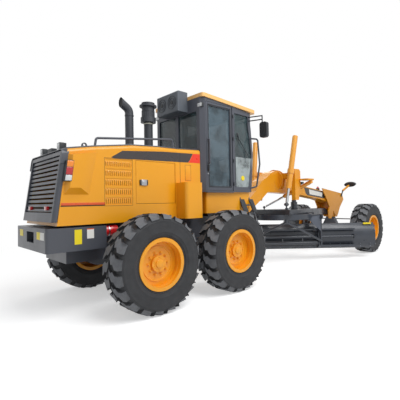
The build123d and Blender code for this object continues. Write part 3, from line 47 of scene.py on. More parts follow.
# Pieces are drawn in machine millimetres: X forward from the middle between the rear
# axles, Y to the left, Z up. One shift and one scale put them into the model's frame.
TO_FOOTPRINT = Vector((-2446.5, 193.989, 0.0))
METRE = 0.001
TO_ROW = Matrix.Scale(METRE, 4) @ Matrix.Translation(TO_FOOTPRINT)
ACROSS = Matrix.Scale(-1, 4, (0, 1, 0))
RIGHT, LEFT = -1, 1
SIDE_NAMES = {RIGHT: "right", LEFT: "left"}
Point = tuple[float, float, float]
Outline = Sequence[tuple[float, float]]


def linear(hex_colour: str) -> tuple[float, float, float, float]:
    """Turn an sRGB hex colour into a linear one.

    Args:
        hex_colour: Six hex digits, with or without a leading hash.

    Returns:
        Linear red, green, blue and an alpha of 1.
    """
    digits = hex_colour.lstrip("#")
    levels = [int(digits[i:i + 2], 16) / 255.0 for i in (0, 2, 4)]
    made = [v / 12.92 if v <= 0.04045 else ((v + 0.055) / 1.055) ** 2.4 for v in levels]
    return (made[0], made[1], made[2], 1.0)


def add_node(tree: bpy.types.NodeTree, kind: str, settings: Optional[dict] = None,
             links: Optional[dict] = None) -> bpy.types.Node:
    """Add one node with its settings and its links.

    Args:
        tree: The tree that takes the node.
        kind: The node's type name.
        settings: Values by socket name or number, or by the node's own property name.
        links: Source sockets by this node's socket name or number.

    Returns:
        The new node.
    """
    node = tree.nodes.new(kind)
    for key, value in (settings or {}).items():
        if isinstance(key, int) or key in node.inputs:
            node.inputs[key].default_value = value
        else:
            setattr(node, key, value)
    for key, source in (links or {}).items():
        tree.links.new(source, node.inputs[key])
    return node


def add_noise(tree: bpy.types.NodeTree, place: bpy.types.Node, size: float,
              **settings: float) -> bpy.types.NodeSocket:
    """Add a noise texture whose pattern has the given size in millimetres."""
    noise = add_node(tree, "ShaderNodeTexNoise", {"Scale": 1.0 / (size * METRE), **settings},
                     {"Vector": place.outputs["Object"]})
    return noise.outputs["Fac"]


def add_range(tree: bpy.types.NodeTree, value: bpy.types.NodeSocket, start: float, end: float,
              low: float = 0.0, high: float = 1.0) -> bpy.types.NodeSocket:
    """Map a value that runs from low to high onto a range from start to end."""
    mapped = add_node(tree, "ShaderNodeMapRange",
                      {"From Min": low, "From Max": high, "To Min": start, "To Max": end},
                      {"Value": value})
    return mapped.outputs["Result"]


class Grain(Enum):
    """How a finish's surface is broken up."""

    SPRAYED = "orange peel of a sprayed enamel"
    POWDER = "fine even grain of a powder coat"
    CAST = "coarse skin of a sand casting"
    MOULDED = "leather-like grain of a moulded plastic"


@dataclass(frozen=True)
class Finish:
    """A solid surface: its colour, gloss, fine relief and slow variation.

    Sizes are in millimetres, so that the pattern keeps its scale on every piece.
    """

    name: str
    colour: str
    roughness: float
    grain_size: float
    relief: float
    mottle: float
    second_colour: Optional[str] = None
    coat: float = 0.0
    metallic: float = 0.0
    grain: Grain = Grain.SPRAYED
    mottle_size: float = 350.0
    gloss_swing: float = 0.06
    coat_roughness: float = 0.1

    def material(self) -> bpy.types.Material:
        """Make the material once, and give the same one back afterwards."""
        known = bpy.data.materials.get(self.name)
        if known is not None:
            return known
        made = bpy.data.materials.new(self.name)
        made.use_nodes = True
        tree = made.node_tree
        shader = tree.nodes["Principled BSDF"]
        shader.inputs["Metallic"].default_value = self.metallic
        shader.inputs["Coat Weight"].default_value = self.coat
        shader.inputs["Coat Roughness"].default_value = self.coat_roughness
        made.diffuse_color = linear(self.colour)
        place = add_node(tree, "ShaderNodeTexCoord")
        slow = add_noise(tree, place, self.mottle_size, Detail=3.0, Roughness=0.6)
        blend = add_range(tree, slow, 0.0, self.mottle, 0.3, 0.7)
        darker = tuple(v * 0.55 for v in linear(self.colour)[:3]) + (1.0,)
        other = linear(self.second_colour) if self.second_colour else darker
        colour = add_node(
            tree, "ShaderNodeMix",
            {"data_type": "RGBA", 6: linear(self.colour), 7: other},
            {0: blend},
        )
        tree.links.new(colour.outputs[2], shader.inputs["Base Color"])
        gloss = add_range(tree, slow, self.roughness - self.gloss_swing,
                          self.roughness + self.gloss_swing, 0.3, 0.7)
        tree.links.new(gloss, shader.inputs["Roughness"])
        self._relieve(tree, shader, place)
        return made

    def _relieve(self, tree: bpy.types.NodeTree, shader: bpy.types.Node,
                 place: bpy.types.Node) -> None:
        """Add the fine relief that this kind of surface has.

        Args:
            tree: The material's tree.
            shader: The surface shader that takes the relief.
            place: The texture coordinates.
        """
        if self.grain in (Grain.CAST, Grain.MOULDED):
            fine = add_node(
                tree, "ShaderNodeTexVoronoi",
                {"Scale": 1.0 / (self.grain_size * METRE), "feature": "SMOOTH_F1"},
                {"Vector": place.outputs["Object"]},
            )
            height = fine.outputs["Distance"]
        else:
            height = add_noise(tree, place, self.grain_size,
                               Detail=1.0 if self.grain is Grain.SPRAYED else 4.0)
        bump = add_node(
            tree, "ShaderNodeBump",
            {"Strength": self.relief, "Distance": self.grain_size * METRE},
            {"Height": height},
        )
        tree.links.new(bump.outputs["Normal"], shader.inputs["Normal"])


@dataclass(frozen=True)
class Glazing:
    """Tempered cab glass: a grey-green body tint under a hard clear surface.

    Darker patches painted into the tint stand for the reflections of a yard's sky and trees on
    the pane.
    """

    name: str
    tint: str
    roughness: float = 0.02
    clear: float = 0.72
    painted_reflection: float = 0.75

    def material(self) -> bpy.types.Material:
        """Mix a tinted see-through with a mirror that grows at flat angles."""
        known = bpy.data.materials.get(self.name)
        if known is not None:
            return known
        made = bpy.data.materials.new(self.name)
        made.use_nodes = True
        tree = made.node_tree
        out = tree.nodes["Material Output"]
        shader = tree.nodes["Principled BSDF"]
        shader.inputs["IOR"].default_value = 1.5
        place = add_node(tree, "ShaderNodeTexCoord")
        # Painted reflections: patches of deeper tint, about 300 mm across with ragged edges
        patches = add_noise(tree, place, 1000.0 / 3.4, Detail=7.0, Roughness=0.62)
        depth = add_range(tree, patches, 0.0, self.painted_reflection, 0.44, 0.6)
        # The patches' colour: the tint darkened, as painted reflection
        deep = tuple(v * 0.3 for v in linear(self.tint)[:3]) + (1.0,)
        body = add_node(tree, "ShaderNodeMix",
                        {"data_type": "RGBA", 6: linear(self.tint), 7: deep},
                        {0: depth})
        tree.links.new(body.outputs[2], shader.inputs["Base Color"])
        # Roller waves of the tempering oven, about 300 mm apart and very shallow
        wave = add_noise(tree, place, 1000.0 / 3.3, Detail=1.0)
        bump = add_node(tree, "ShaderNodeBump", {"Strength": 0.03, "Distance": 0.004},
                        {"Height": wave})
        tree.links.new(bump.outputs["Normal"], shader.inputs["Normal"])
        film = add_range(tree, wave, self.roughness, self.roughness + 0.05)
        tree.links.new(film, shader.inputs["Roughness"])
        shader.inputs["Alpha"].default_value = 1.0 - self.clear
        made.diffuse_color = linear(self.tint)
        made.use_backface_culling = False
        tree.links.new(shader.outputs["BSDF"], out.inputs["Surface"])
        return made


# Each finish gives its name, colour, roughness, grain size, relief, mottle and, where it
# mottles to another colour, that one.
# Two-part polyurethane enamel on sheet steel: deep gloss over a faint orange peel
BODY_ENAMEL = Finish("amber_enamel_on_sheet_steel", "#ECA012", 0.34, 7.0, 0.035, 0.07,
                     "#C98212", coat=0.15)
# The same enamel on thick plate and castings, a little duller where it meets welds
BEAM_ENAMEL = Finish("amber_enamel_on_welded_plate", "#E69A12", 0.4, 9.0, 0.07, 0.14,
                     "#B87410", coat=0.1)
# Enamelled cylinder barrels, drawn tube under a smooth coat
BARREL_ENAMEL = Finish("amber_enamel_on_drawn_tube", "#EBA43C", 0.32, 5.0, 0.03, 0.08,
                       coat=0.25)
# Roof shell of glass-fibre plastic, paler than the sheet metal, with a soft gel-coat gloss
ROOF_GELCOAT = Finish("peach_gelcoat_on_glass_fibre", "#F4BE72", 0.36, 12.0, 0.03, 0.08,
                      "#DFA04C", coat=0.2)
# Pressed steel wheels, orange-yellow stove enamel with brake dust towards the hub
RIM_ENAMEL = Finish("orange_enamel_on_pressed_steel", "#EFA015", 0.36, 6.0, 0.04, 0.16,
                    "#BE780C", coat=0.12, mottle_size=180.0)
# Dark slate enamel on the frame's welded plate, weights and boxes
FRAME_ENAMEL = Finish("slate_enamel_on_welded_plate", "#484B53", 0.42, 8.0, 0.06, 0.18,
                      "#32353C", coat=0.15)
# Blue-black enamel on the drawbar, circle and blade, scuffed lighter by soil
BLADE_ENAMEL = Finish("blue_black_enamel_scuffed_by_soil", "#2B3039", 0.34, 10.0, 0.08, 0.3,
                      "#424853", coat=0.2, mottle_size=260.0, gloss_swing=0.1)
# The same enamel on the circle's gussets, rubbed paler
GUSSET_ENAMEL = Finish("rubbed_blue_black_enamel", "#565C68", 0.4, 10.0, 0.08, 0.25, "#3A404B",
                       coat=0.1, mottle_size=160.0)
# Polyester powder coat on the cab's frame, with a fine even grain
CAB_POWDER = Finish("slate_powder_coat_on_cab_frame", "#4A4D56", 0.46, 3.0, 0.06, 0.1,
                    "#3B3E46", grain=Grain.POWDER)
# Heat-resistant black paint on stacks, matt with a dusty bloom
STACK_PAINT = Finish("heat_resistant_black_paint", "#2E3137", 0.5, 5.0, 0.08, 0.25, "#43464D",
                     grain=Grain.POWDER)
# Grey paint straight on cast iron, the rough skin showing through
IRON_PAINT = Finish("grey_paint_on_cast_iron", "#55585E", 0.6, 6.0, 0.25, 0.3, "#3C3F44",
                    grain=Grain.CAST)
# Carbon-black rubber of tyre walls: dull, with a faint brown-grey bloom
TYRE_RUBBER = Finish("carbon_black_tyre_rubber", "#2A2B2E", 0.72, 6.0, 0.12, 0.35, "#1D1E20",
                     grain=Grain.POWDER, mottle_size=120.0)
# The lugs' outer faces, painted pale grey as the highlight of light from above
LUG_TOP_HIGHLIGHT = Finish("lug_rubber_painted_highlight", "#74767A", 0.8, 5.0, 0.2, 0.4, "#4D4E52",
                  grain=Grain.POWDER, mottle_size=70.0)
# Hard chrome on ground steel rods, with a faint film of oil
ROD_CHROME = Finish("hard_chrome_on_ground_steel", "#C9CCCF", 0.16, 2.0, 0.01, 0.12, "#9DA1A6",
                    metallic=1.0)
# Zinc-plated bolts and fittings, silvery and slightly rough
ZINC = Finish("zinc_plated_steel", "#A9ACB0", 0.38, 3.0, 0.05, 0.2, metallic=1.0)
# Cutting edge of hardened carbon steel, ground bright along its foot
EDGE_STEEL = Finish("hardened_edge_steel", "#7C8087", 0.36, 5.0, 0.08, 0.35, "#4B4F56",
                    metallic=0.85, mottle_size=90.0)
# Vinyl seat cover over foam: soft leather-like grain
SEAT_VINYL = Finish("charcoal_seat_vinyl", "#26272A", 0.55, 3.0, 0.15, 0.15,
                    grain=Grain.MOULDED)
# Moulded polypropylene of console, lamp shells and mirror backs
MOULDED_BLACK = Finish("moulded_black_polypropylene", "#26292D", 0.5, 2.0, 0.1, 0.12,
                       grain=Grain.MOULDED)
# Coated steel case of the air conditioner, a worn charcoal grey
CONDENSER_COAT = Finish("charcoal_coat_on_condenser_case", "#565C64", 0.5, 3.0, 0.08, 0.2,
                        "#3F444B", grain=Grain.POWDER, mottle_size=120.0)
# Extruded door and window rubber, matt and very dark
SEAL_RUBBER = Finish("extruded_seal_rubber", "#191A1C", 0.75, 3.0, 0.08, 0.15,
                     grain=Grain.POWDER)
# Near-black sheet of painted shade behind the louvres and the grille and inside the exhaust's
# mouth, where almost no light comes back
SHADE_BLACK = Finish("painted_shade_black", "#141518", 0.7, 4.0, 0.1, 0.2, grain=Grain.POWDER)
# Printed vinyl film for stripes and blank plates: thin, flat and slightly glossy
STRIPE_FILM = Finish("dark_stripe_film", "#3B3636", 0.3, 4.0, 0.01, 0.08)
RED_FILM = Finish("red_stripe_film", "#EC3A22", 0.3, 4.0, 0.01, 0.05)
ORANGE_FILM = Finish("orange_stripe_film", "#DD5A28", 0.32, 4.0, 0.01, 0.06)
YELLOW_PLATE = Finish("yellow_blank_plate", "#F2DA1E", 0.4, 3.0, 0.01, 0.05)
WHITE_PLATE = Finish("white_blank_plate", "#E9E8E2", 0.4, 3.0, 0.01, 0.05)
# Injection-moulded acrylic lenses, glossy and deep-coloured
AMBER_LENS = Finish("amber_acrylic_lens", "#F38A12", 0.12, 6.0, 0.08, 0.08, coat=0.8)
RED_LENS = Finish("red_acrylic_lens", "#B9141A", 0.12, 6.0, 0.08, 0.1, coat=0.8)
CLEAR_LENS = Finish("clear_acrylic_lens", "#D9DBDC", 0.1, 6.0, 0.1, 0.1, coat=0.9)
RED_ENAMEL = Finish("red_enamel_on_steel", "#C41E22", 0.3, 5.0, 0.03, 0.1, coat=0.4)
PALE_BAND = Finish("pale_clamp_band", "#D8D6C4", 0.35, 3.0, 0.03, 0.1, metallic=0.3)
DOOR_GLAZING = Glazing("blue_grey_tempered_door_glass", "#5D717C", clear=0.4)
CAB_GLAZING = Glazing("grey_green_tempered_cab_glass", "#465A5E", clear=0.4)
LOW_GLAZING = Glazing("pale_lower_quarter_glass", "#BFCACB", clear=0.45)


class Shape:
    """A mesh under way, in machine millimetres, that ends as one finished piece."""

    def __init__(self) -> None:
        """Start with an empty mesh."""
        self.mesh = bmesh.new()

    def _painted(self, verts: Sequence[bmesh.types.BMVert], paint: int) -> set:
        """Give all faces at the given points a finish's number, and return the faces."""
        faces = {f for v in verts for f in v.link_faces}
        for face in faces:
            face.material_index = paint
        return faces

    def _bevel(self, edges: Iterable[bmesh.types.BMEdge], width: float,
               steps: int = 2) -> None:
        """Round the given edges."""
        bmesh.ops.bevel(self.mesh, geom=list(edges), offset=width, segments=steps,
                        profile=0.5, affect="EDGES", material=-1, clamp_overlap=True)

    def block(self, low: Point, high: Point, edge: float = 0.0, steps: int = 2,
              paint: int = 0) -> "Shape":
        """Add a block between two opposite corners.

        Args:
            low: One corner.
            high: The opposite corner.
            edge: Radius of its rounded edges.
            steps: Segments in each rounded edge.
            paint: Number of its finish.

        Returns:
            This shape.
        """
        corners = bmesh.ops.create_cube(self.mesh, size=1.0)["verts"]
        size = [abs(h - l) for l, h in zip(low, high)]
        middle = [(h + l) / 2 for l, h in zip(low, high)]
        bmesh.ops.scale(self.mesh, vec=size, verts=corners)
        bmesh.ops.translate(self.mesh, vec=middle, verts=corners)
        self._painted(corners, paint)
        if edge:
            self._bevel({e for v in corners for e in v.link_edges}, edge, steps)
        return self

    def rod(self, start: Point, end: Point, radius: float, end_radius: Optional[float] = None,
            sides: int = 24, edge: float = 0.0, paint: int = 0) -> "Shape":
        """Add a round bar or cone between two points.

        Args:
            start: Middle of its first end.
            end: Middle of its other end.
            radius: Radius at the first end.
            end_radius: Radius at the other end, where it differs.
            sides: Faces round it.
            edge: Radius of its rounded rims.
            paint: Number of its finish.

        Returns:
            This shape.
        """
        first, last = Vector(start), Vector(end)
        run = last - first
        far = radius if end_radius is None else end_radius
        turn = run.to_track_quat("Z", "Y").to_matrix().to_4x4()
        turn = Matrix.Translation((first + last) / 2) @ turn
        made = bmesh.ops.create_cone(
            self.mesh, cap_ends=True, cap_tris=False, segments=sides, radius1=radius,
            radius2=far, depth=run.length, matrix=turn,
        )["verts"]
        faces = self._painted(made, paint)
        if edge:
            self._bevel({e for f in faces if len(f.verts) > 4 for e in f.edges}, edge)
        return self

    def ball(self, centre: Point, radius: float, stretch: Point = (1.0, 1.0, 1.0),
             paint: int = 0) -> "Shape":
        """Add a ball, stretched along the axes where asked."""
        made = bmesh.ops.create_uvsphere(self.mesh, u_segments=20, v_segments=12,
                                         radius=radius)["verts"]
        bmesh.ops.scale(self.mesh, vec=stretch, verts=made)
        bmesh.ops.translate(self.mesh, vec=centre, verts=made)
        self._painted(made, paint)
        return self

    def plate(self, outline: Outline, across: str, low: float, high: float,
              edge: float = 0.0, paint: int = 0, turn: Optional[Matrix] = None,
              crest: Optional[Outline] = None) -> "Shape":
        """Add a plate with the given outline, or a form that rises to another outline.

        Args:
            outline: Corners in the plate's plane, in the axes' usual order.
            across: Axis along its thickness: x, y or z.
            low: Place of the outline along that axis.
            high: Place of its other face.
            edge: Radius of its rounded edges.
            paint: Number of its finish.
            turn: Transform applied to it last.
            crest: The same corners on the other face, where they lie elsewhere.

        Returns:
            This shape.
        """
        put = {"x": lambda p, at: (at, p[0], p[1]), "y": lambda p, at: (p[0], at, p[1]),
               "z": lambda p, at: (p[0], p[1], at)}[across]
        foot = [self.mesh.verts.new(put(p, low)) for p in outline]
        face = self.mesh.faces.new(foot)
        grown = bmesh.ops.extrude_face_region(self.mesh, geom=[face])["geom"]
        top = [g for g in grown if isinstance(g, bmesh.types.BMVert)]
        above = [next(v for v in top if v.co == rim.co) for rim in foot]
        for vert, spot in zip(above, crest or outline):
            vert.co = put(spot, high)
        made = foot + top
        if turn is not None:
            bmesh.ops.transform(self.mesh, matrix=turn, verts=made)
        faces = self._painted(made, paint)
        bmesh.ops.recalc_face_normals(self.mesh, faces=list(faces))
        if edge:
            self._bevel({e for f in faces for e in f.edges}, edge)
        return self

    def lathe(self, profile: Outline, centre: Point, axis: str = "y",
              steps: int = 48, paint: int = 0, closed: bool = False) -> "Shape":
        """Turn a profile about an axis through a point.

        Args:
            profile: Radius and place along the axis, in order.
            centre: Point on the axis, where its places are measured from.
            axis: Direction of the axis: x, y or z.
            steps: Segments round it.
            paint: Number of its finish.
            closed: Whether the profile's last point joins its first.

        Returns:
            This shape.
        """
        along = {"x": Vector((1, 0, 0)), "y": Vector((0, 1, 0)), "z": Vector((0, 0, 1))}[axis]
        out = Vector((0, 0, 1)) if axis != "z" else Vector((1, 0, 0))
        line = [self.mesh.verts.new(Vector(centre) + out * r + along * p) for r, p in profile]
        ends = list(zip(line, line[1:])) + ([(line[-1], line[0])] if closed else [])
        edges = [self.mesh.edges.new(pair) for pair in ends]
        before = set(self.mesh.faces)
        bmesh.ops.spin(self.mesh, geom=line + edges, cent=centre, axis=along,
                       angle=2 * math.pi, steps=steps, use_merge=True)
        made = set(self.mesh.faces) - before
        for face in made:
            face.material_index = paint
        spots = list({v for f in made for v in f.verts})
        bmesh.ops.remove_doubles(self.mesh, verts=spots, dist=0.01)
        return self

    def mirrored(self) -> "Shape":
        """Copy all that is there so far across the machine's middle."""
        copied = bmesh.ops.duplicate(self.mesh, geom=list(self.mesh.faces))["geom"]
        verts = [g for g in copied if isinstance(g, bmesh.types.BMVert)]
        bmesh.ops.transform(self.mesh, matrix=ACROSS, verts=verts)
        faces = [g for g in copied if isinstance(g, bmesh.types.BMFace)]
        bmesh.ops.reverse_faces(self.mesh, faces=faces)
        return self

    def piece(self, name: str, finishes: Sequence[Finish], body: str, slot: str,
              sharp: float = 35.0, turn: Optional[Matrix] = None,
              stands_for: Sequence[str] = ()) -> bpy.types.Object:
        """Make the piece's object, dress it and let it ride on its body.

        Args:
            name: Name of the piece.
            finishes: Its finishes, by the numbers that its faces carry.
            body: Body of the model that carries it.
            slot: Material slot of the record that it belongs to; not used.
            sharp: Angle in degrees past which an edge stays sharp.
            turn: Transform in machine millimetres applied before it is placed.
            stands_for: Nodes of the model that it is shown in place of.

        Returns:
            The finished object.
        """
        bmesh.ops.recalc_face_normals(self.mesh, faces=list(self.mesh.faces))
        if turn is not None:
            self.mesh.transform(turn)
        self.mesh.transform(TO_ROW)
        data = bpy.data.meshes.new(name)
        self.mesh.to_mesh(data)
        self.mesh.free()
        data.shade_smooth()
        data.set_sharp_from_angle(angle=math.radians(sharp))
        made = bpy.data.objects.new(name, data)
        bpy.context.scene.collection.objects.link(made)
        for finish in finishes:
            data.materials.append(finish.material())
        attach(made, body)
        if stands_for:
            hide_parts(*stands_for)
        LOG.info("%s: %d faces on %s", name, len(data.polygons), body)
        return made


@dataclass
class Studio:
    """The camera at the photograph's place, a pale floor and soft light."""

    camera_place: Point = (-3335.9, -4998.95, 1481.7)
    yaw: float = 45.71
    pitch: float = 1.48
    roll: float = -1.15
    lens: float = 30.363
    shift: tuple[float, float] = (-0.0492, -0.0182)
    backdrop: str = "#FFFFFF"
    sky_strength: float = 0.42
    key_strength: float = 1.15
    floor_radius: float = 40.0
    floor_glow: float = 0.45
    fade_start: float = 3.0
    fade_end: float = 9.0

    def build(self) -> None:
        """Set up the camera, the world, the floor and the lamps."""
        scene = bpy.context.scene
        scene.view_settings.view_transform = "Standard"
        yaw, pitch, roll = (math.radians(v) for v in (self.yaw, self.pitch, self.roll))
        ahead = Vector((math.cos(pitch) * math.cos(yaw), math.cos(pitch) * math.sin(yaw),
                        math.sin(pitch)))
        level_right = ahead.cross(Vector((0, 0, 1))).normalized()
        level_up = level_right.cross(ahead)
        right = math.cos(roll) * level_right + math.sin(roll) * level_up
        up = -math.sin(roll) * level_right + math.cos(roll) * level_up
        lens = bpy.data.cameras.new("photo_camera")
        lens.lens, lens.sensor_width, lens.sensor_fit = self.lens, 36.0, "HORIZONTAL"
        lens.shift_x, lens.shift_y = self.shift
        lens.clip_end = 200.0
        camera = bpy.data.objects.new("photo_camera", lens)
        scene.collection.objects.link(camera)
        turn = Matrix((right, up, -ahead)).transposed().to_4x4()
        camera.matrix_world = Matrix.Translation(TO_ROW @ Vector(self.camera_place)) @ turn
        scene.camera = camera
        self._world(scene)
        self._floor(scene)
        # Large soft lamps: one over the right rear, one to fill the far side
        for name, place, size, power in (
            ("soft_lamp_near", (-1.5, -6.5, 9.0), 7.0, 730.0),
            ("soft_lamp_far", (6.0, 6.5, 7.0), 7.0, 220.0),
        ):
            lamp = bpy.data.lights.new(name, "AREA")
            lamp.energy, lamp.size = power * self.key_strength, size
            holder = bpy.data.objects.new(name, lamp)
            scene.collection.objects.link(holder)
            spot = Vector(place)
            aim = (Vector((0, 0, 1.2)) - spot).to_track_quat("-Z", "Y")
            holder.matrix_world = Matrix.Translation(spot) @ aim.to_matrix().to_4x4()

    def _seen(self, tree: bpy.types.NodeTree) -> bpy.types.NodeSocket:
        """Give 1 where a ray comes from the camera, a mirror or a glass."""
        path = add_node(tree, "ShaderNodeLightPath")
        first = add_node(tree, "ShaderNodeMath", {"operation": "MAXIMUM"},
                         {0: path.outputs["Is Camera Ray"], 1: path.outputs["Is Glossy Ray"]})
        both = add_node(tree, "ShaderNodeMath", {"operation": "MAXIMUM"},
                        {0: first.outputs[0], 1: path.outputs["Is Transmission Ray"]})
        return both.outputs[0]

    def _world(self, scene: bpy.types.Scene) -> None:
        """Plain white where it is seen, softer where it lights the object."""
        world = bpy.data.worlds.new("studio")
        scene.world = world
        world.use_nodes = True
        tree = world.node_tree
        shown = tree.nodes["Background"]
        shown.inputs["Color"].default_value = linear(self.backdrop)
        shown.inputs["Strength"].default_value = 1.0
        light = add_node(tree, "ShaderNodeBackground",
                         {"Color": linear("#F4F6F8"), "Strength": self.sky_strength})
        mix = add_node(tree, "ShaderNodeMixShader", links={
            0: self._seen(tree), 1: light.outputs[0], 2: shown.outputs[0]})
        tree.links.new(mix.outputs[0], tree.nodes["World Output"].inputs["Surface"])

    def _floor(self, scene: bpy.types.Scene) -> None:
        """A wide pale floor that fades into the white background and keeps the shadow."""
        data = bpy.data.meshes.new("floor")
        mesh = bmesh.new()
        bmesh.ops.create_circle(mesh, cap_ends=True, radius=self.floor_radius, segments=64)
        mesh.to_mesh(data)
        mesh.free()
        floor = bpy.data.objects.new("floor", data)
        floor.location.z = -0.002
        scene.collection.objects.link(floor)
        paper = bpy.data.materials.new("white_studio_floor")
        paper.use_nodes = True
        tree = paper.node_tree
        shader = tree.nodes["Principled BSDF"]
        shader.inputs["Base Color"].default_value = linear("#F2F2F2")
        shader.inputs["Roughness"].default_value = 0.9
        shader.inputs["Specular IOR Level"].default_value = 0.0
        glow = add_node(tree, "ShaderNodeEmission",
                        {"Color": (1, 1, 1, 1), "Strength": self.floor_glow})
        add = add_node(tree, "ShaderNodeAddShader",
                       links={0: shader.outputs[0], 1: glow.outputs[0]})
        # Plain white away from the machine, so that no horizon line shows
        place = add_node(tree, "ShaderNodeTexCoord")
        reach = add_node(tree, "ShaderNodeVectorMath", {"operation": "LENGTH"},
                         {0: place.outputs["Object"]})
        fade = add_node(tree, "ShaderNodeMapRange",
                        {"interpolation_type": "SMOOTHSTEP", "From Min": self.fade_start,
                         "From Max": self.fade_end}, {"Value": reach.outputs["Value"]})
        plain = add_node(tree, "ShaderNodeEmission", {"Color": (1, 1, 1, 1), "Strength": 1.0})
        paper_look = add_node(tree, "ShaderNodeMixShader", links={
            0: fade.outputs[0], 1: add.outputs[0], 2: plain.outputs[0]})
        mix = add_node(tree, "ShaderNodeMixShader", links={
            0: self._seen(tree), 1: shader.outputs[0], 2: paper_look.outputs[0]})
        tree.links.new(mix.outputs[0], tree.nodes["Material Output"].inputs["Surface"])
        data.materials.append(paper)


@dataclass
class Tyre:
    """A grader tyre: a turned carcass with two rows of heavy angled lugs."""

    radius: float = 668.0
    base_radius: float = 636.0
    crown_half: float = 150.0
    side_half: float = 220.0
    bead_radius: float = 317.0
    bead_half: float = 180.0
    lug_count: int = 20
    lug_taper: float = 5.0
    wheel_y: float = 1078.0
    axle_z: float = 668.0

    def _carcass(self, shape: Shape) -> None:
        """Turn the carcass, with moulding ribs on its walls and beads on the rim."""
        half, top = self.side_half, self.base_radius
        wall = [
            (self.bead_radius, self.bead_half), (356.0, self.bead_half),
            (362.0, 190.0), (371.0, 194.0), (377.0, 192.0), (384.0, 203.0),
            (420.0, 213.0), (424.0, 216.0), (436.0, 216.5), (441.0, 214.5),
            (492.0, half - 1.0), (530.0, half - 1.5), (560.0, 215.0), (566.0, 217.0),
            (574.0, 216.0), (581.0, 211.0), (600.0, 204.0), (614.0, 190.0),
            (top - 8.0, self.crown_half), (top, 70.0), (top, 0.0),
        ]
        profile = wall + [(r, -y) for r, y in reversed(wall[:-1])]
        shape.lathe(profile, (0.0, 0.0, self.axle_z), "y", steps=96, closed=True)

    def _lug(self, shape: Shape, side: int, start: float) -> None:
        """Raise one lug: two kinked bars of tread that end on the shoulder.

        Args:
            shape: The mesh that takes the lug.
            side: Side of the tread's middle that it is on, 1 or -1.
            start: Angle of its middle round the axle, in radians.
        """
        # Distance from the tread's middle, place round the tread, half of its width there,
        # drop of its crest, depth of its block and how far its crest leans out
        rows = (
            (8.0, 80.0, 46.0, 0.0, 44.0, 0.0), (52.0, 22.0, 60.0, 0.0, 44.0, 0.0),
            (98.0, 36.0, 67.0, 0.0, 44.0, 0.0), (150.0, -14.0, 74.0, 0.0, 44.0, 0.0),
            (186.0, -22.0, 76.0, 15.0, 44.0, 14.0), (207.0, -24.0, 72.0, 66.0, 30.0, 8.0),
        )
        corners = [(row, 1) for row in rows] + [(row, -1) for row in reversed(rows)]
        foot = [shape.mesh.verts.new((0.0, side * row[0], 0.0)) for row, _ in corners]
        face = shape.mesh.faces.new(foot)
        grown = bmesh.ops.extrude_face_region(shape.mesh, geom=[face])["geom"]
        crest = [g for g in grown if isinstance(g, bmesh.types.BMVert)]
        for low, high, ((y, place, half, drop, depth, lean), way) in zip(foot, crest, corners):
            top = self.radius - drop
            edge = place + way * half
            for vert, level, at, out in ((low, top - depth, edge, y),
                                         (high, top, edge - way * self.lug_taper, y + lean)):
                angle = start + at / self.radius
                vert.co = Vector((level * math.sin(angle), side * out,
                                  self.axle_z + level * math.cos(angle)))
        faces = {f for v in foot + crest for f in v.link_faces}
        bmesh.ops.recalc_face_normals(shape.mesh, faces=list(faces))
        # The crests take the paler rubber: a painted highlight on the lug tops
        for one in faces:
            if all(v in crest for v in one.verts):
                one.material_index = 1

    def build(self, axle: str, x: float, side: int) -> bpy.types.Object:
        """Make one tyre, with its lugs pointing the way the photograph shows.

        Args:
            axle: Name of the axle it is on.
            x: Place of that axle.
            side: Side of the machine.

        Returns:
            The finished tyre.
        """
        shape = Shape()
        self._carcass(shape)
        step = 2 * math.pi / self.lug_count
        for number in range(self.lug_count):
            self._lug(shape, 1, number * step)
            self._lug(shape, -1, (number + 0.5) * step)
        name = f"{axle}_{SIDE_NAMES[side]}"
        return shape.piece(
            f"lugged_tyre_{name}", (TYRE_RUBBER, LUG_TOP_HIGHLIGHT), f"wheel_{name}", "tyre_rubber",
            sharp=30.0, turn=Matrix.Translation((x, side * self.wheel_y, 0.0)),
            stands_for=(f"tyre_{name}",),
        )


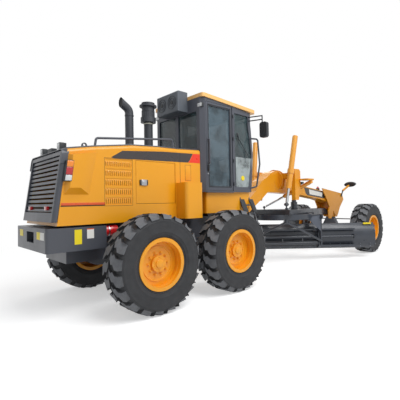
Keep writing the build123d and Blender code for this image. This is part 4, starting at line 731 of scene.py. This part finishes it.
@dataclass
class WheelTrim:
    """What is bolted to a pressed wheel: nuts, a hub cap, a lock ring and a valve."""

    nut_count: int = 10
    nut_circle: float = 148.0
    nut_radius: float = 17.0
    dish_face: float = 70.0
    hub_face: float = 110.0
    wheel_y: float = 1078.0
    axle_z: float = 668.0

    def build(self, axle: str, x: float, side: int) -> bpy.types.Object:
        """Make one wheel's trim.

        Args:
            axle: Name of the axle it is on.
            x: Place of that axle.
            side: Side of the machine.

        Returns:
            The finished trim.
        """
        shape = Shape()
        face = self.dish_face - 2.0
        for number in range(self.nut_count):
            angle = 2 * math.pi * number / self.nut_count
            a, b = self.nut_circle * math.cos(angle), self.nut_circle * math.sin(angle)
            # Washer, nut and the stud's end: start, end, radius, sides and rounded rim
            for start, end, radius, sides, edge in (
                (0.0, 7.0, self.nut_radius + 6.0, 20, 1.5),
                (6.0, 24.0, self.nut_radius, 6, 2.0), (20.0, 36.0, 9.0, 12, 1.5),
            ):
                shape.rod((a, face + start, b), (a, face + end, b), radius, sides=sides,
                          edge=edge)
        # Hub cap with its rim of small screws, and the ring that stiffens the dish
        shape.lathe([(0.0, 24.0), (52.0, 22.0), (58.0, 18.0), (60.0, 4.0), (82.0, 3.0),
                     (86.0, -4.0)], (0.0, self.hub_face, 0.0), "y", steps=40)
        for number in range(6):
            angle = 2 * math.pi * (number + 0.5) / 6
            a, b = 96.0 * math.cos(angle), 96.0 * math.sin(angle)
            shape.rod((a, self.hub_face - 3.0, b), (a, self.hub_face + 8.0, b), 7.0,
                      sides=6, edge=1.0)
        shape.lathe([(212.0, -8.0), (220.0, 9.0), (236.0, 9.0), (244.0, -8.0)],
                    (0.0, self.dish_face, 0.0), "y", steps=64)
        shape.lathe([(299.0, 0.0), (292.0, 26.0), (297.0, 58.0), (301.0, 60.0)],
                    (0.0, self.dish_face, 0.0), "y", steps=64)
        shape.rod((0.0, self.dish_face - 6.0, 262.0), (0.0, self.dish_face + 42.0, 274.0), 6.0,
                  sides=10, edge=1.0)
        turn = Matrix.Translation((x, side * self.wheel_y, self.axle_z))
        if side < 0:
            turn = turn @ ACROSS
        name = f"{axle}_{SIDE_NAMES[side]}"
        return shape.piece(f"wheel_trim_{name}", (RIM_ENAMEL,), f"wheel_{name}", "rim_yellow",
                           turn=turn)


@dataclass
class Wheels:
    """All six wheels."""

    axle_places: tuple = (("rear", -769.0), ("middle", 769.0), ("front", 6219.0))

    def build(self) -> None:
        """Make the tyre and the trim of each wheel."""
        for axle, x in self.axle_places:
            for side in (RIGHT, LEFT):
                Tyre().build(axle, x, side)
                WheelTrim().build(axle, x, side)


@dataclass
class ModelFinishes:
    """Better finishes for the model's own nodes, by what each one is made of."""

    by_finish: tuple = (
        (BODY_ENAMEL, "engine_hood hood_door_right hood_door_left cab_base side_tanks"),
        (BEAM_ENAMEL, "front_frame saddle"),
        (IRON_PAINT, "drawbar_ball engine_block"),
        (FRAME_ENAMEL, "rear_chassis tandem_axle rear_counterweight radiator_cowl front_axle "
                       "lean_yoke_left lean_yoke_right steering_knuckle_left "
                       "steering_knuckle_right tie_rod lean_bar"),
        (STACK_PAINT, "hood_stacks ladders"),
        (CAB_POWDER, "hand_rails cab_frame cab_door_right cab_door_left"),
        (MOULDED_BLACK, "mirrors rear_lamps front_mirror"),
        (ROOF_GELCOAT, "cab_roof"),
        (CONDENSER_COAT, "air_conditioner"),
        (SEAT_VINYL, "cab_interior"),
        (CAB_GLAZING, "cab_glass"),
        (DOOR_GLAZING, "door_glass_right door_glass_left"),
        (ZINC, "tie_rod_end"),
        (BLADE_ENAMEL, "drawbar circle blade_carriage moldboard"),
        (BARREL_ENAMEL, "lift_barrel_left lift_barrel_right centre_shift_barrel"),
        (ROD_CHROME, "lift_rod_left lift_rod_right centre_shift_rod"),
    )

    def build(self) -> None:
        """Dress every node that is shown."""
        chosen = {name: finish for finish, names in self.by_finish for name in names.split()}
        for name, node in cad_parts.items():
            wheel = RIM_ENAMEL if name.startswith("rim_") else TYRE_RUBBER
            finish = chosen.get(name, wheel)
            node.data.materials.clear()
            node.data.materials.append(finish.material())
            LOG.info("%s: %s", name, finish.name)


@dataclass
class HoodTrim:
    """What the engine hood carries: bulges, lamps, films, seams, scoops and latches."""

    side: float = 640.0
    film: float = 1.5
    bulge_foot: tuple = ((-1803.0, 1603.0), (-1469.0, 1603.0), (-1360.0, 2172.0),
                         (-1740.0, 2120.0))
    bulge_crest: tuple = ((-1744.0, 1690.0), (-1607.0, 1690.0), (-1497.0, 2150.0),
                          (-1700.0, 2108.0))
    bulge_height: float = 70.0
    lean: float = 132.0 / 977.0
    scoop_columns: int = 13
    band_count: int = 5
    louvre_low: float = 1465.0
    louvre_high: float = 2098.0
    louvre_rear: float = -1245.0
    louvre_front: float = -850.0
    lamp_low: float = 1778.0
    lamp_high: float = 2028.0
    lamp_rear: float = -1774.0
    lamp_width: float = 82.0
    strip_half: float = 588.0
    strip_rise: float = 20.0
    band_bend: float = 70.0
    band_drop: float = 66.0
    top_line: tuple = ((-1745.0, 2192.0), (-1389.0, 2252.0), (-821.0, 2326.0),
                       (-372.0, 2347.0), (20.0, 2350.0), (459.0, 2371.0))

    def build(self) -> None:
        """Make the trim of both sides, and the strip on the hood's top."""
        for name, maker, finishes, slot in (
            ("hood_bulges", self._bulge, (BODY_ENAMEL,), "body_yellow"),
            ("louvre_scoops", self._scoops, (BODY_ENAMEL, SHADE_BLACK), "body_yellow"),
            ("hood_films", self._films, (STRIPE_FILM, RED_FILM, ORANGE_FILM, SEAL_RUBBER),
             "cab_dark"),
            ("tail_lamps", self._tail_lamp,
             (MOULDED_BLACK, AMBER_LENS, RED_LENS, CLEAR_LENS), "cab_dark"),
        ):
            shape = Shape()
            maker(shape)
            shape.mirrored().piece(name, finishes, "rear_frame", slot)
        self._top()
        for side in (RIGHT, LEFT):
            self._latch(side)

    def _bulge(self, shape: Shape) -> None:
        """Pressed bulge behind the louvres, and the shallow panel over the tank's filler."""
        shape.plate(self.bulge_foot, "y", self.side - 3.0, self.side + self.bulge_height,
                    crest=self.bulge_crest)
        shape.block((135.0, self.side, 1838.0), (250.0, self.side + 2.5, 2090.0), 2.0)

    def _scoops(self, shape: Shape) -> None:
        """Five bands of small pressed scoops, each with a dark strip of painted shade in its
        opening.
        """
        pitch = (self.louvre_high - self.louvre_low) / self.band_count
        step = (self.louvre_front - self.louvre_rear) / self.scoop_columns
        floor = self.side - 6.0
        for band in range(self.band_count):
            low = self.louvre_low + band * pitch + 14.0
            high = low + pitch - 42.0
            for column in range(self.scoop_columns):
                x = self.louvre_rear + (column + 0.5) * step
                foot = ((x - 8.0, low), (x + 8.0, low), (x + 8.0, high), (x - 8.0, high))
                crest = ((x - 3.0, low + 4.0), (x + 5.0, low + 4.0), (x + 5.0, high - 16.0),
                         (x - 3.0, high - 16.0))
                shape.plate(foot, "y", floor - 1.0, floor + 8.0, crest=crest)
                # Dark strip beside the scoop: painted shade in its opening
                shape.block((x - 11.5, floor, low + 6.0), (x - 7.5, floor + 1.0, high - 14.0),
                            paint=1)

    def _films(self, shape: Shape) -> None:
        """The dark stripe with its red end, the orange-red strip and the panel seams."""
        face, film = self.side, self.side + self.film
        stripe = ((-1164.0, 2121.0), (-1119.0, 2110.0), (196.0, 2137.0), (236.0, 2180.0),
                  (300.0, 2292.0), (-300.0, 2275.0), (-990.0, 2227.0))
        red = ((202.0, 2137.0), (455.0, 2140.0), (455.0, 2296.0), (306.0, 2292.0),
               (242.0, 2180.0))
        shape.plate(stripe, "y", face, film)
        shape.plate(red, "y", face, film, paint=1)
        shape.block((-1829.0, face, 1468.0), (-1262.0, face + 7.0, 1502.0), 2.5, paint=2)
        shape.block((-1834.0, face, 1456.0), (-1262.0, face + 3.0, 1467.0), paint=3)
        shape.block((26.0, face, 1228.0), (31.0, face + 2.0, 2284.0), paint=3)
        # Seams round the louvre panel and round the filler's panel, and their line's width
        for x0, x1, z0, z1, wide in ((-1262.0, -838.0, 1450.0, 2106.0, 4.0),
                                     (131.0, 251.0, 1833.0, 2091.0, 3.5)):
            for x in (x0, x1):
                shape.block((x, face, z0), (x + wide, face + 1.0, z1 + 2.0), paint=3)
            for z in (z0, z1):
                shape.block((x0, face, z), (x1 + wide, face + 1.0, z + wide), paint=3)

    def _tail_lamp(self, shape: Shape) -> None:
        """Leaning tail lamp: amber over red over clear, in a thin dark shell."""

        def slice_of(low: float, high: float, inset: float) -> list[tuple[float, float]]:
            """Outline of the lamp between two heights."""
            bottom, top = (self.lamp_rear + (z - self.lamp_high) * self.lean
                           for z in (low, high))
            wide = self.lamp_width - inset
            return [(bottom + inset, low), (bottom + wide, low), (top + wide, high),
                    (top + inset, high)]

        back, face = self.side - 2.0, self.side + self.bulge_height + 4.0
        low, high = self.lamp_low, self.lamp_high
        shape.plate(slice_of(low - 7.0, high + 7.0, -5.0), "y", back, face, 5.0)
        for paint, foot, head in ((3, low, low + 70.0), (2, low + 74.0, high - 82.0),
                                  (1, high - 78.0, high)):
            shape.plate(slice_of(foot, head, 2.0), "y", face - 4.0, face + 8.0, 4.0,
                        paint=paint)

    def _top(self) -> None:
        """Dark strip along the hood's top, and the band round its rear corner."""
        shape = Shape()
        lower = [(x, z - 4.0) for x, z in self.top_line]
        upper = [(x, z + self.strip_rise) for x, z in reversed(self.top_line)]
        shape.plate(lower + upper, "y", -self.strip_half, self.strip_half, 7.0)
        bend, drop, out, inner = self.band_bend, self.band_drop, self.side + 4.0, self.side - 6.0
        arc = [math.radians(90.0 * n / 6) for n in range(7)]
        half = [(out, -190.0)] + [
            (out - bend + bend * math.cos(a), bend * math.sin(a) - drop) for a in arc]
        under = [(inner, -190.0)] + [
            (inner - (bend - 10.0) * (1.0 - math.cos(a)), (bend - 10.0) * math.sin(a) - drop)
            for a in arc]
        ring = (half + [(-y, z) for y, z in reversed(half)]
                + [(-y, z) for y, z in under] + list(reversed(under)))
        rear, high = self.top_line[0]
        shear = Matrix(((1.0, 0.0, self.lean, rear), (0.0, 1.0, 0.0, 0.0),
                        (0.17, 0.0, 1.0, high), (0.0, 0.0, 0.0, 1.0)))
        shape.plate(ring, "x", -62.0, 26.0, turn=shear)
        shape.piece("hood_top_strip", (FRAME_ENAMEL,), "rear_frame", "frame_dark")

    def _latch(self, side: int) -> None:
        """Recessed latch with its bright paddle, on one hood door."""
        shape = Shape()
        for x0, z0, x1, z1, low, high, edge, paint in (
            (-724.0, 1744.0, -696.0, 1822.0, -1.0, 18.0, 5.0, 0),
            (-612.0, 1744.0, -586.0, 1822.0, -1.0, 18.0, 5.0, 0),
            (-700.0, 1740.0, -608.0, 1826.0, -1.0, 22.0, 5.0, 1),
            (-682.0, 1762.0, -626.0, 1804.0, 20.0, 27.0, 3.0, 1),
        ):
            shape.block((x0, side * (self.side + low), z0), (x1, side * (self.side + high), z1),
                        edge, paint=paint)
        name = SIDE_NAMES[side]
        shape.piece(f"hood_latch_{name}", (MOULDED_BLACK, ZINC), f"hood_door_{name}_body",
                    "cab_dark")


@dataclass
class RearTrim:
    """Plates, reflectors, lamp glasses, straps and the canister at the machine's rear."""

    weight_face: float = -2006.0
    box_side: float = 638.5
    film: float = 1.5
    canister_radius: float = 78.0
    canister_line: tuple[float, float] = (-560.0, 1112.0)
    strap_places: tuple[float, float] = (1446.0, 1698.0)
    strap_width: float = 98.0

    def build(self) -> None:
        """Make the blank plates, then the pieces round them."""
        shape = Shape()
        back = self.weight_face
        for y0, y1, z0, z1, paint in (
            (328.0, 480.0, 1053.0, 1144.0, 0), (-420.0, -290.0, 1046.0, 1140.0, 0),
            (-574.0, -424.0, 1046.0, 1140.0, 1),
        ):
            shape.block((back - self.film, y0, z0), (back + 2.0, y1, z1), paint=paint)
        for side in (RIGHT, LEFT):
            face, film = side * self.box_side, side * (self.box_side + self.film)
            for x0, x1, z0, z1, paint in (
                (-1666.0, -1573.0, 970.0, 1157.0, 0), (-1506.0, -1414.0, 1033.0, 1150.0, 1),
                (-1506.0, -1414.0, 1150.0, 1162.0, 2),
            ):
                shape.block((x0, face, z0), (x1, film, z1), paint=paint)
        shape.piece("blank_plates", (YELLOW_PLATE, WHITE_PLATE, ORANGE_FILM), "rear_frame",
                    "frame_dark")
        self._lamps()
        self._canister()
        self._straps()

    def _straps(self) -> None:
        """Broad straps over the upper part of both ladders' stringers."""
        shape = Shape()
        for x in self.strap_places:
            shape.plate(((644.0, 1515.0), (674.0, 1515.0), (790.0, 1265.0), (760.0, 1265.0)),
                        "x", x, x + self.strap_width, 6.0)
        shape.mirrored().piece("ladder_straps", (MOULDED_BLACK,), "rear_frame", "cab_dark")

    def _lamps(self) -> None:
        """Red reflectors on the grille, and glasses and hoods on the work lamps."""
        shape = Shape()
        for y in (341.0, -344.0):
            shape.block((-1922.0, y - 42.0, 1412.0), (-1880.0, y + 42.0, 1462.0), 5.0)
        for y in (346.0, -346.0):
            shape.block((-1757.0, y - 54.0, 2192.0), (-1694.0, y + 54.0, 2302.0), 9.0, 3,
                        paint=1)
            shape.block((-1761.0, y - 43.0, 2204.0), (-1753.0, y + 43.0, 2290.0), 4.0,
                        paint=2)
            shape.ball((-1761.0, y, 2247.0), 26.0, (0.35, 1.0, 1.0), paint=2)
        shape.piece("rear_lamp_glasses", (RED_LENS, MOULDED_BLACK, CLEAR_LENS), "rear_frame",
                    "cab_dark")

    def _canister(self) -> None:
        """Red enamelled air canister in front of the right side box, in its clamp."""
        shape = Shape()
        y, z = self.canister_line
        skin = self.canister_radius
        shape.rod((-1239.0, y, z), (-1060.0, y, z), skin, sides=32, edge=10.0)
        shape.lathe([(skin + 1.0, -8.0), (skin + 4.0, -8.0), (skin + 4.0, 8.0),
                     (skin + 1.0, 8.0)], (-1190.0, y, z), "x", 32, paint=1, closed=True)
        shape.piece("air_canister", (RED_ENAMEL, ZINC), "rear_frame", "frame_dark")


@dataclass
class StackTrim:
    """Flange and clamp of the exhaust, the dark disc of painted shade in its sooty mouth, and
    the intake's band and fins.
    """

    exhaust: tuple[float, float] = (-600.0, -150.0)
    intake: tuple[float, float] = (-246.0, -150.0)
    mouth: Point = (-734.0, -150.0, 3069.0)
    mouth_radius: float = 57.0
    fin_count: int = 24
    body_radius: float = 104.0

    def build(self) -> None:
        """Make both stacks' fittings."""
        x, y = self.exhaust
        shape = Shape()
        shape.lathe([(134.0, -12.0), (134.0, 6.0), (128.0, 10.0), (118.0, 10.0)],
                    (x, y, 2338.0), "z", 40)
        shape.lathe([(65.0, 0.0), (71.0, 4.0), (71.0, 26.0), (65.0, 30.0)], (x, y, 2870.0),
                    "z", 40)
        # The mouth is cut off upright, so the painted shade inside it is a tall flat ball
        shape.ball(self.mouth, self.mouth_radius, (0.05, 1.0, 1.2), paint=1)
        x, y = self.intake
        shape.rod((x, y, 2790.0), (x, y, 2810.0), 77.0, sides=40, edge=2.0, paint=2)
        shape.rod((x, y, 3004.0), (x, y, 3016.0), self.body_radius + 5.0, sides=40, edge=3.0)
        for number in range(self.fin_count):
            angle = 2 * math.pi * number / self.fin_count
            out = Vector((math.cos(angle), math.sin(angle), 0.0))
            foot = Vector((x, y, 2904.0)) + out * self.body_radius
            shape.rod(foot, foot + Vector((0.0, 0.0, 100.0)), 4.0, sides=6)
        shape.piece("stack_fittings", (STACK_PAINT, SHADE_BLACK, PALE_BAND), "rear_frame",
                    "cab_dark")


@dataclass
class CabTrim:
    """Small fittings on the cab: fan rings, lamps, hinges, wipers, seals and a disc."""

    fan_face: float = 249.0
    fan_z: float = 3262.0
    fan_half_gap: float = 150.0
    door_face: float = 712.0
    pane_face: float = 706.0
    pane: tuple = ((598.0, 1740.0), (1148.0, 1740.0), (1148.0, 3178.0), (598.0, 3178.0))
    seal_half: float = 7.0
    bottle: tuple[float, float] = (640.0, -585.0)

    def build(self) -> None:
        """Make the cab's fittings and the pieces seen through its glass."""
        shape = Shape()
        face, z = self.fan_face, self.fan_z
        for y in (self.fan_half_gap, -self.fan_half_gap):
            for radius in (118.0, 78.0, 38.0):
                shape.lathe([(radius, 0.0), (radius, -9.0), (radius - 7.0, -9.0),
                             (radius - 7.0, 0.0)], (face, y, z), "x", 40, closed=True)
            shape.rod((face - 9.0, y, z), (face + 1.0, y, z), 26.0, sides=20, edge=3.0)
        for side in (RIGHT, LEFT):
            shape.block((470.0, side * 580.0, 3118.0), (560.0, side * 700.0, 3196.0), 12.0, 3)
            shape.block((464.0, side * 588.0, 3126.0), (474.0, side * 692.0, 3188.0), 3.0,
                        paint=1)
            # Hinge covers, ahead of where the open door stands
            for z in (3060.0, 2640.0, 2230.0, 1800.0):
                shape.block((1209.0, side * 706.0, z - 34.0), (1235.0, side * 724.0, z + 34.0),
                            5.0)
        shape.piece("cab_fittings", (MOULDED_BLACK, CLEAR_LENS), "rear_frame", "cab_dark")
        for side in (RIGHT, LEFT):
            self._quarter(side)
        self._extinguisher()
        shape = Shape()
        for side in (RIGHT, LEFT):
            shape.block((556.0, side * 640.0, 1640.0), (1222.0, side * 716.0, 1662.0), 5.0)
        shape.piece("door_sills", (CAB_POWDER,), "rear_frame", "cab_dark")
        for side in (RIGHT, LEFT):
            self._door(side)

    def _quarter(self, side: int) -> None:
        """Pale lower sheet, wiper and blank disc at one front quarter window."""
        shape = Shape()
        line = ((1290.0, 1745.0), (1722.0, 1745.0), (1806.0, 2312.0), (1290.0, 2312.0))
        # The pane runs inwards by 22 mm over its 535 mm, from X 1225 on
        skew = Matrix.Identity(4)
        skew[1][0] = -side * 22.0 / 535.0
        skew[1][3] = -skew[1][0] * 1225.0
        near = self.pane_face
        shape.plate(line, "y", side * near, side * (near + 2.0), turn=skew)
        shape.piece(f"lower_quarter_glass_{SIDE_NAMES[side]}", (LOW_GLAZING,), "rear_frame",
                    "window_glass")
        shape = Shape()
        shape.rod((1330.0, side * 712.0, 2720.0), (1655.0, side * 705.0, 2350.0), 8.0, 6.0,
                  sides=10)
        shape.rod((1380.0, side * 716.0, 2640.0), (1330.0, side * 716.0, 2760.0), 14.0,
                  sides=12, edge=3.0)
        shape.rod((1480.0, side * (near - 4.0), 1917.0), (1480.0, side * near, 1917.0), 46.0,
                  sides=32, paint=1)
        shape.piece(f"quarter_wiper_{SIDE_NAMES[side]}", (MOULDED_BLACK, YELLOW_PLATE),
                    "rear_frame", "cab_dark")

    def _extinguisher(self) -> None:
        """Red extinguisher bottle with its valve and clamp, behind the right door."""
        shape = Shape()
        x, y = self.bottle
        shape.lathe([(0.0, -8.0), (59.0, -6.0), (60.5, 10.0), (60.5, 400.0), (40.0, 448.0),
                     (22.0, 470.0), (22.0, 496.0), (0.0, 497.0)], (x, y, 1652.0), "z", 32)
        shape.rod((x, y, 2120.0), (x, y, 2172.0), 26.0, sides=16, edge=3.0, paint=1)
        shape.block((x - 15.0, y - 60.0, 2150.0), (x + 15.0, y + 20.0, 2178.0), 5.0, paint=1)
        for z in (1780.0, 1960.0):
            shape.lathe([(61.0, -12.0), (64.0, -12.0), (64.0, 12.0), (61.0, 12.0)], (x, y, z),
                        "z", 32, paint=1, closed=True)
        shape.piece("extinguisher_skin", (RED_ENAMEL, MOULDED_BLACK), "rear_frame",
                    "seat_plastic")

    def _door(self, side: int) -> None:
        """Window seal, handle and lock of one cab door."""
        shape = Shape()
        face, half = self.door_face, self.seal_half
        for (xa, za), (xb, zb) in zip(self.pane, self.pane[1:] + self.pane[:1]):
            x0, x1 = sorted((xa, xb))
            z0, z1 = sorted((za, zb))
            shape.block((x0 - half, side * (face - 1.0), z0 - half),
                        (x1 + half, side * (face + 4.0), z1 + half), 2.0)
        shape.block((566.0, side * face, 2006.0), (590.0, side * (face + 34.0), 2120.0), 6.0,
                    paint=1)
        shape.rod((578.0, side * face, 1968.0), (578.0, side * (face + 8.0), 1968.0), 13.0,
                  sides=20, edge=2.0, paint=2)
        name = SIDE_NAMES[side]
        shape.piece(f"door_seal_{name}", (SEAL_RUBBER, MOULDED_BLACK, ZINC),
                    f"cab_door_{name}_body", "cab_dark")


@dataclass
class BeamTrim:
    """Panels, lamps, a beacon and the mirror's sleeve on the long front beam."""

    side: float = 151.0
    beacon: tuple[float, float] = (5398.0, -60.0)
    stem_foot: Point = (6558.0, -244.0, 1735.0)
    stem_head: Point = (6846.0, -350.0, 1930.0)
    sleeve_share: float = 0.8
    sleeve_radius: float = 31.0

    def build(self) -> None:
        """Make both sides' panels and what stands on the beam."""
        shape = Shape()
        dark = ((4530.0, 1812.0), (4610.0, 1646.0), (4690.0, 1600.0), (5560.0, 1510.0),
                (5640.0, 1560.0), (5610.0, 1700.0))
        white = ((4771.0, 1762.0), (4800.0, 1628.0), (5455.0, 1560.0), (5490.0, 1672.0))
        for side in (RIGHT, LEFT):
            shape.plate(dark, "y", side * self.side, side * (self.side + 1.5))
            shape.plate(white, "y", side * self.side, side * (self.side + 2.5), paint=1)
        shape.piece("beam_panels", (STRIPE_FILM, WHITE_PLATE), "front_frame_body",
                    "body_yellow")
        shape = Shape()
        x, y = self.beacon
        shape.rod((x, y, 1738.0), (x, y, 1800.0), 50.0, sides=24, edge=6.0, paint=1)
        shape.rod((x, y, 1796.0), (x, y, 1850.0), 44.0, 20.0, sides=24, edge=4.0)
        for y in (-98.0, 98.0):
            shape.block((4440.0, y - 50.0, 1858.0), (4540.0, y + 50.0, 1960.0), 12.0, 3,
                        paint=1)
            shape.block((4536.0, y - 40.0, 1868.0), (4548.0, y + 40.0, 1950.0), 4.0, paint=2)
            shape.rod((4490.0, y, 1838.0), (4490.0, y, 1862.0), 12.0, sides=12, paint=1)
        shape.piece("beam_lamps", (RED_LENS, MOULDED_BLACK, CLEAR_LENS), "front_frame_body",
                    "body_yellow")
        # Enamelled sleeve over the blind-spot mirror's stem
        shape = Shape()
        foot, head = Vector(self.stem_foot), Vector(self.stem_head)
        shape.rod(foot, foot + (head - foot) * self.sleeve_share, self.sleeve_radius, sides=20,
                  edge=4.0)
        shape.piece("mirror_sleeve", (BEAM_ENAMEL,), "front_frame_body", "body_yellow")


@dataclass
class BladeTrim:
    """Bolts and a blank plate on the blade, and the circle's gussets, in the blade's frame."""

    angle: float = 44.3
    circle_x: float = 3644.0
    end_low: float = 2322.5
    end_high: float = -1642.5
    edge_bolts: int = 16

    def build(self) -> None:
        """Make the bolts on the end plates and the edge, the plate and the gussets."""
        turn = (Matrix.Translation((self.circle_x, 0.0, 0.0))
                @ Matrix.Rotation(math.radians(-self.angle), 4, "Z"))
        shape = Shape()
        for end, way in ((self.end_low, 1), (self.end_high, -1)):
            for y, z in ((-40.0, 800.0), (-58.0, 690.0), (-58.0, 480.0), (-40.0, 360.0)):
                shape.rod((end, y, z), (end + way * 14.0, y, z), 15.0, sides=6, edge=2.0)
        pitch = (self.end_low - self.end_high - 240.0) / (self.edge_bolts - 1)
        for number in range(self.edge_bolts):
            x = self.end_high + 120.0 + number * pitch
            for z in (318.0, 382.0):
                shape.rod((x, -40.0, z), (x, -58.0, z - 6.0), 13.0, sides=6, edge=2.0)
        shape.piece("blade_bolts", (EDGE_STEEL,), "blade", "blade_dark", turn=turn)
        shape = Shape()
        shape.block((2050.0, -36.0, 846.0), (2240.0, -10.0, 884.0), 1.0)
        shape.piece("blade_plate", (YELLOW_PLATE,), "blade", "blade_dark", turn=turn)
        # Stiffening sheet between the ring and each arm of the circle
        shape = Shape()
        for way in (1, -1):
            shape.plate(((way * 580.0, 1046.0), (way * 902.0, 1104.0), (way * 902.0, 725.0)),
                        "y", -338.0, -329.0, 2.0)
        shape.piece("arm_gussets", (GUSSET_ENAMEL,), "circle_body", "blade_dark", turn=turn)


def main() -> None:
    """Build the studio, dress the model and add the fine pieces, in order."""
    logging.basicConfig(level=logging.INFO, format="%(message)s")
    for part in (Studio(), ModelFinishes(), Wheels(), HoodTrim(), RearTrim(), StackTrim(),
                 CabTrim(), BeamTrim(), BladeTrim()):
        part.build()


if __name__ == "__main__":
    main()
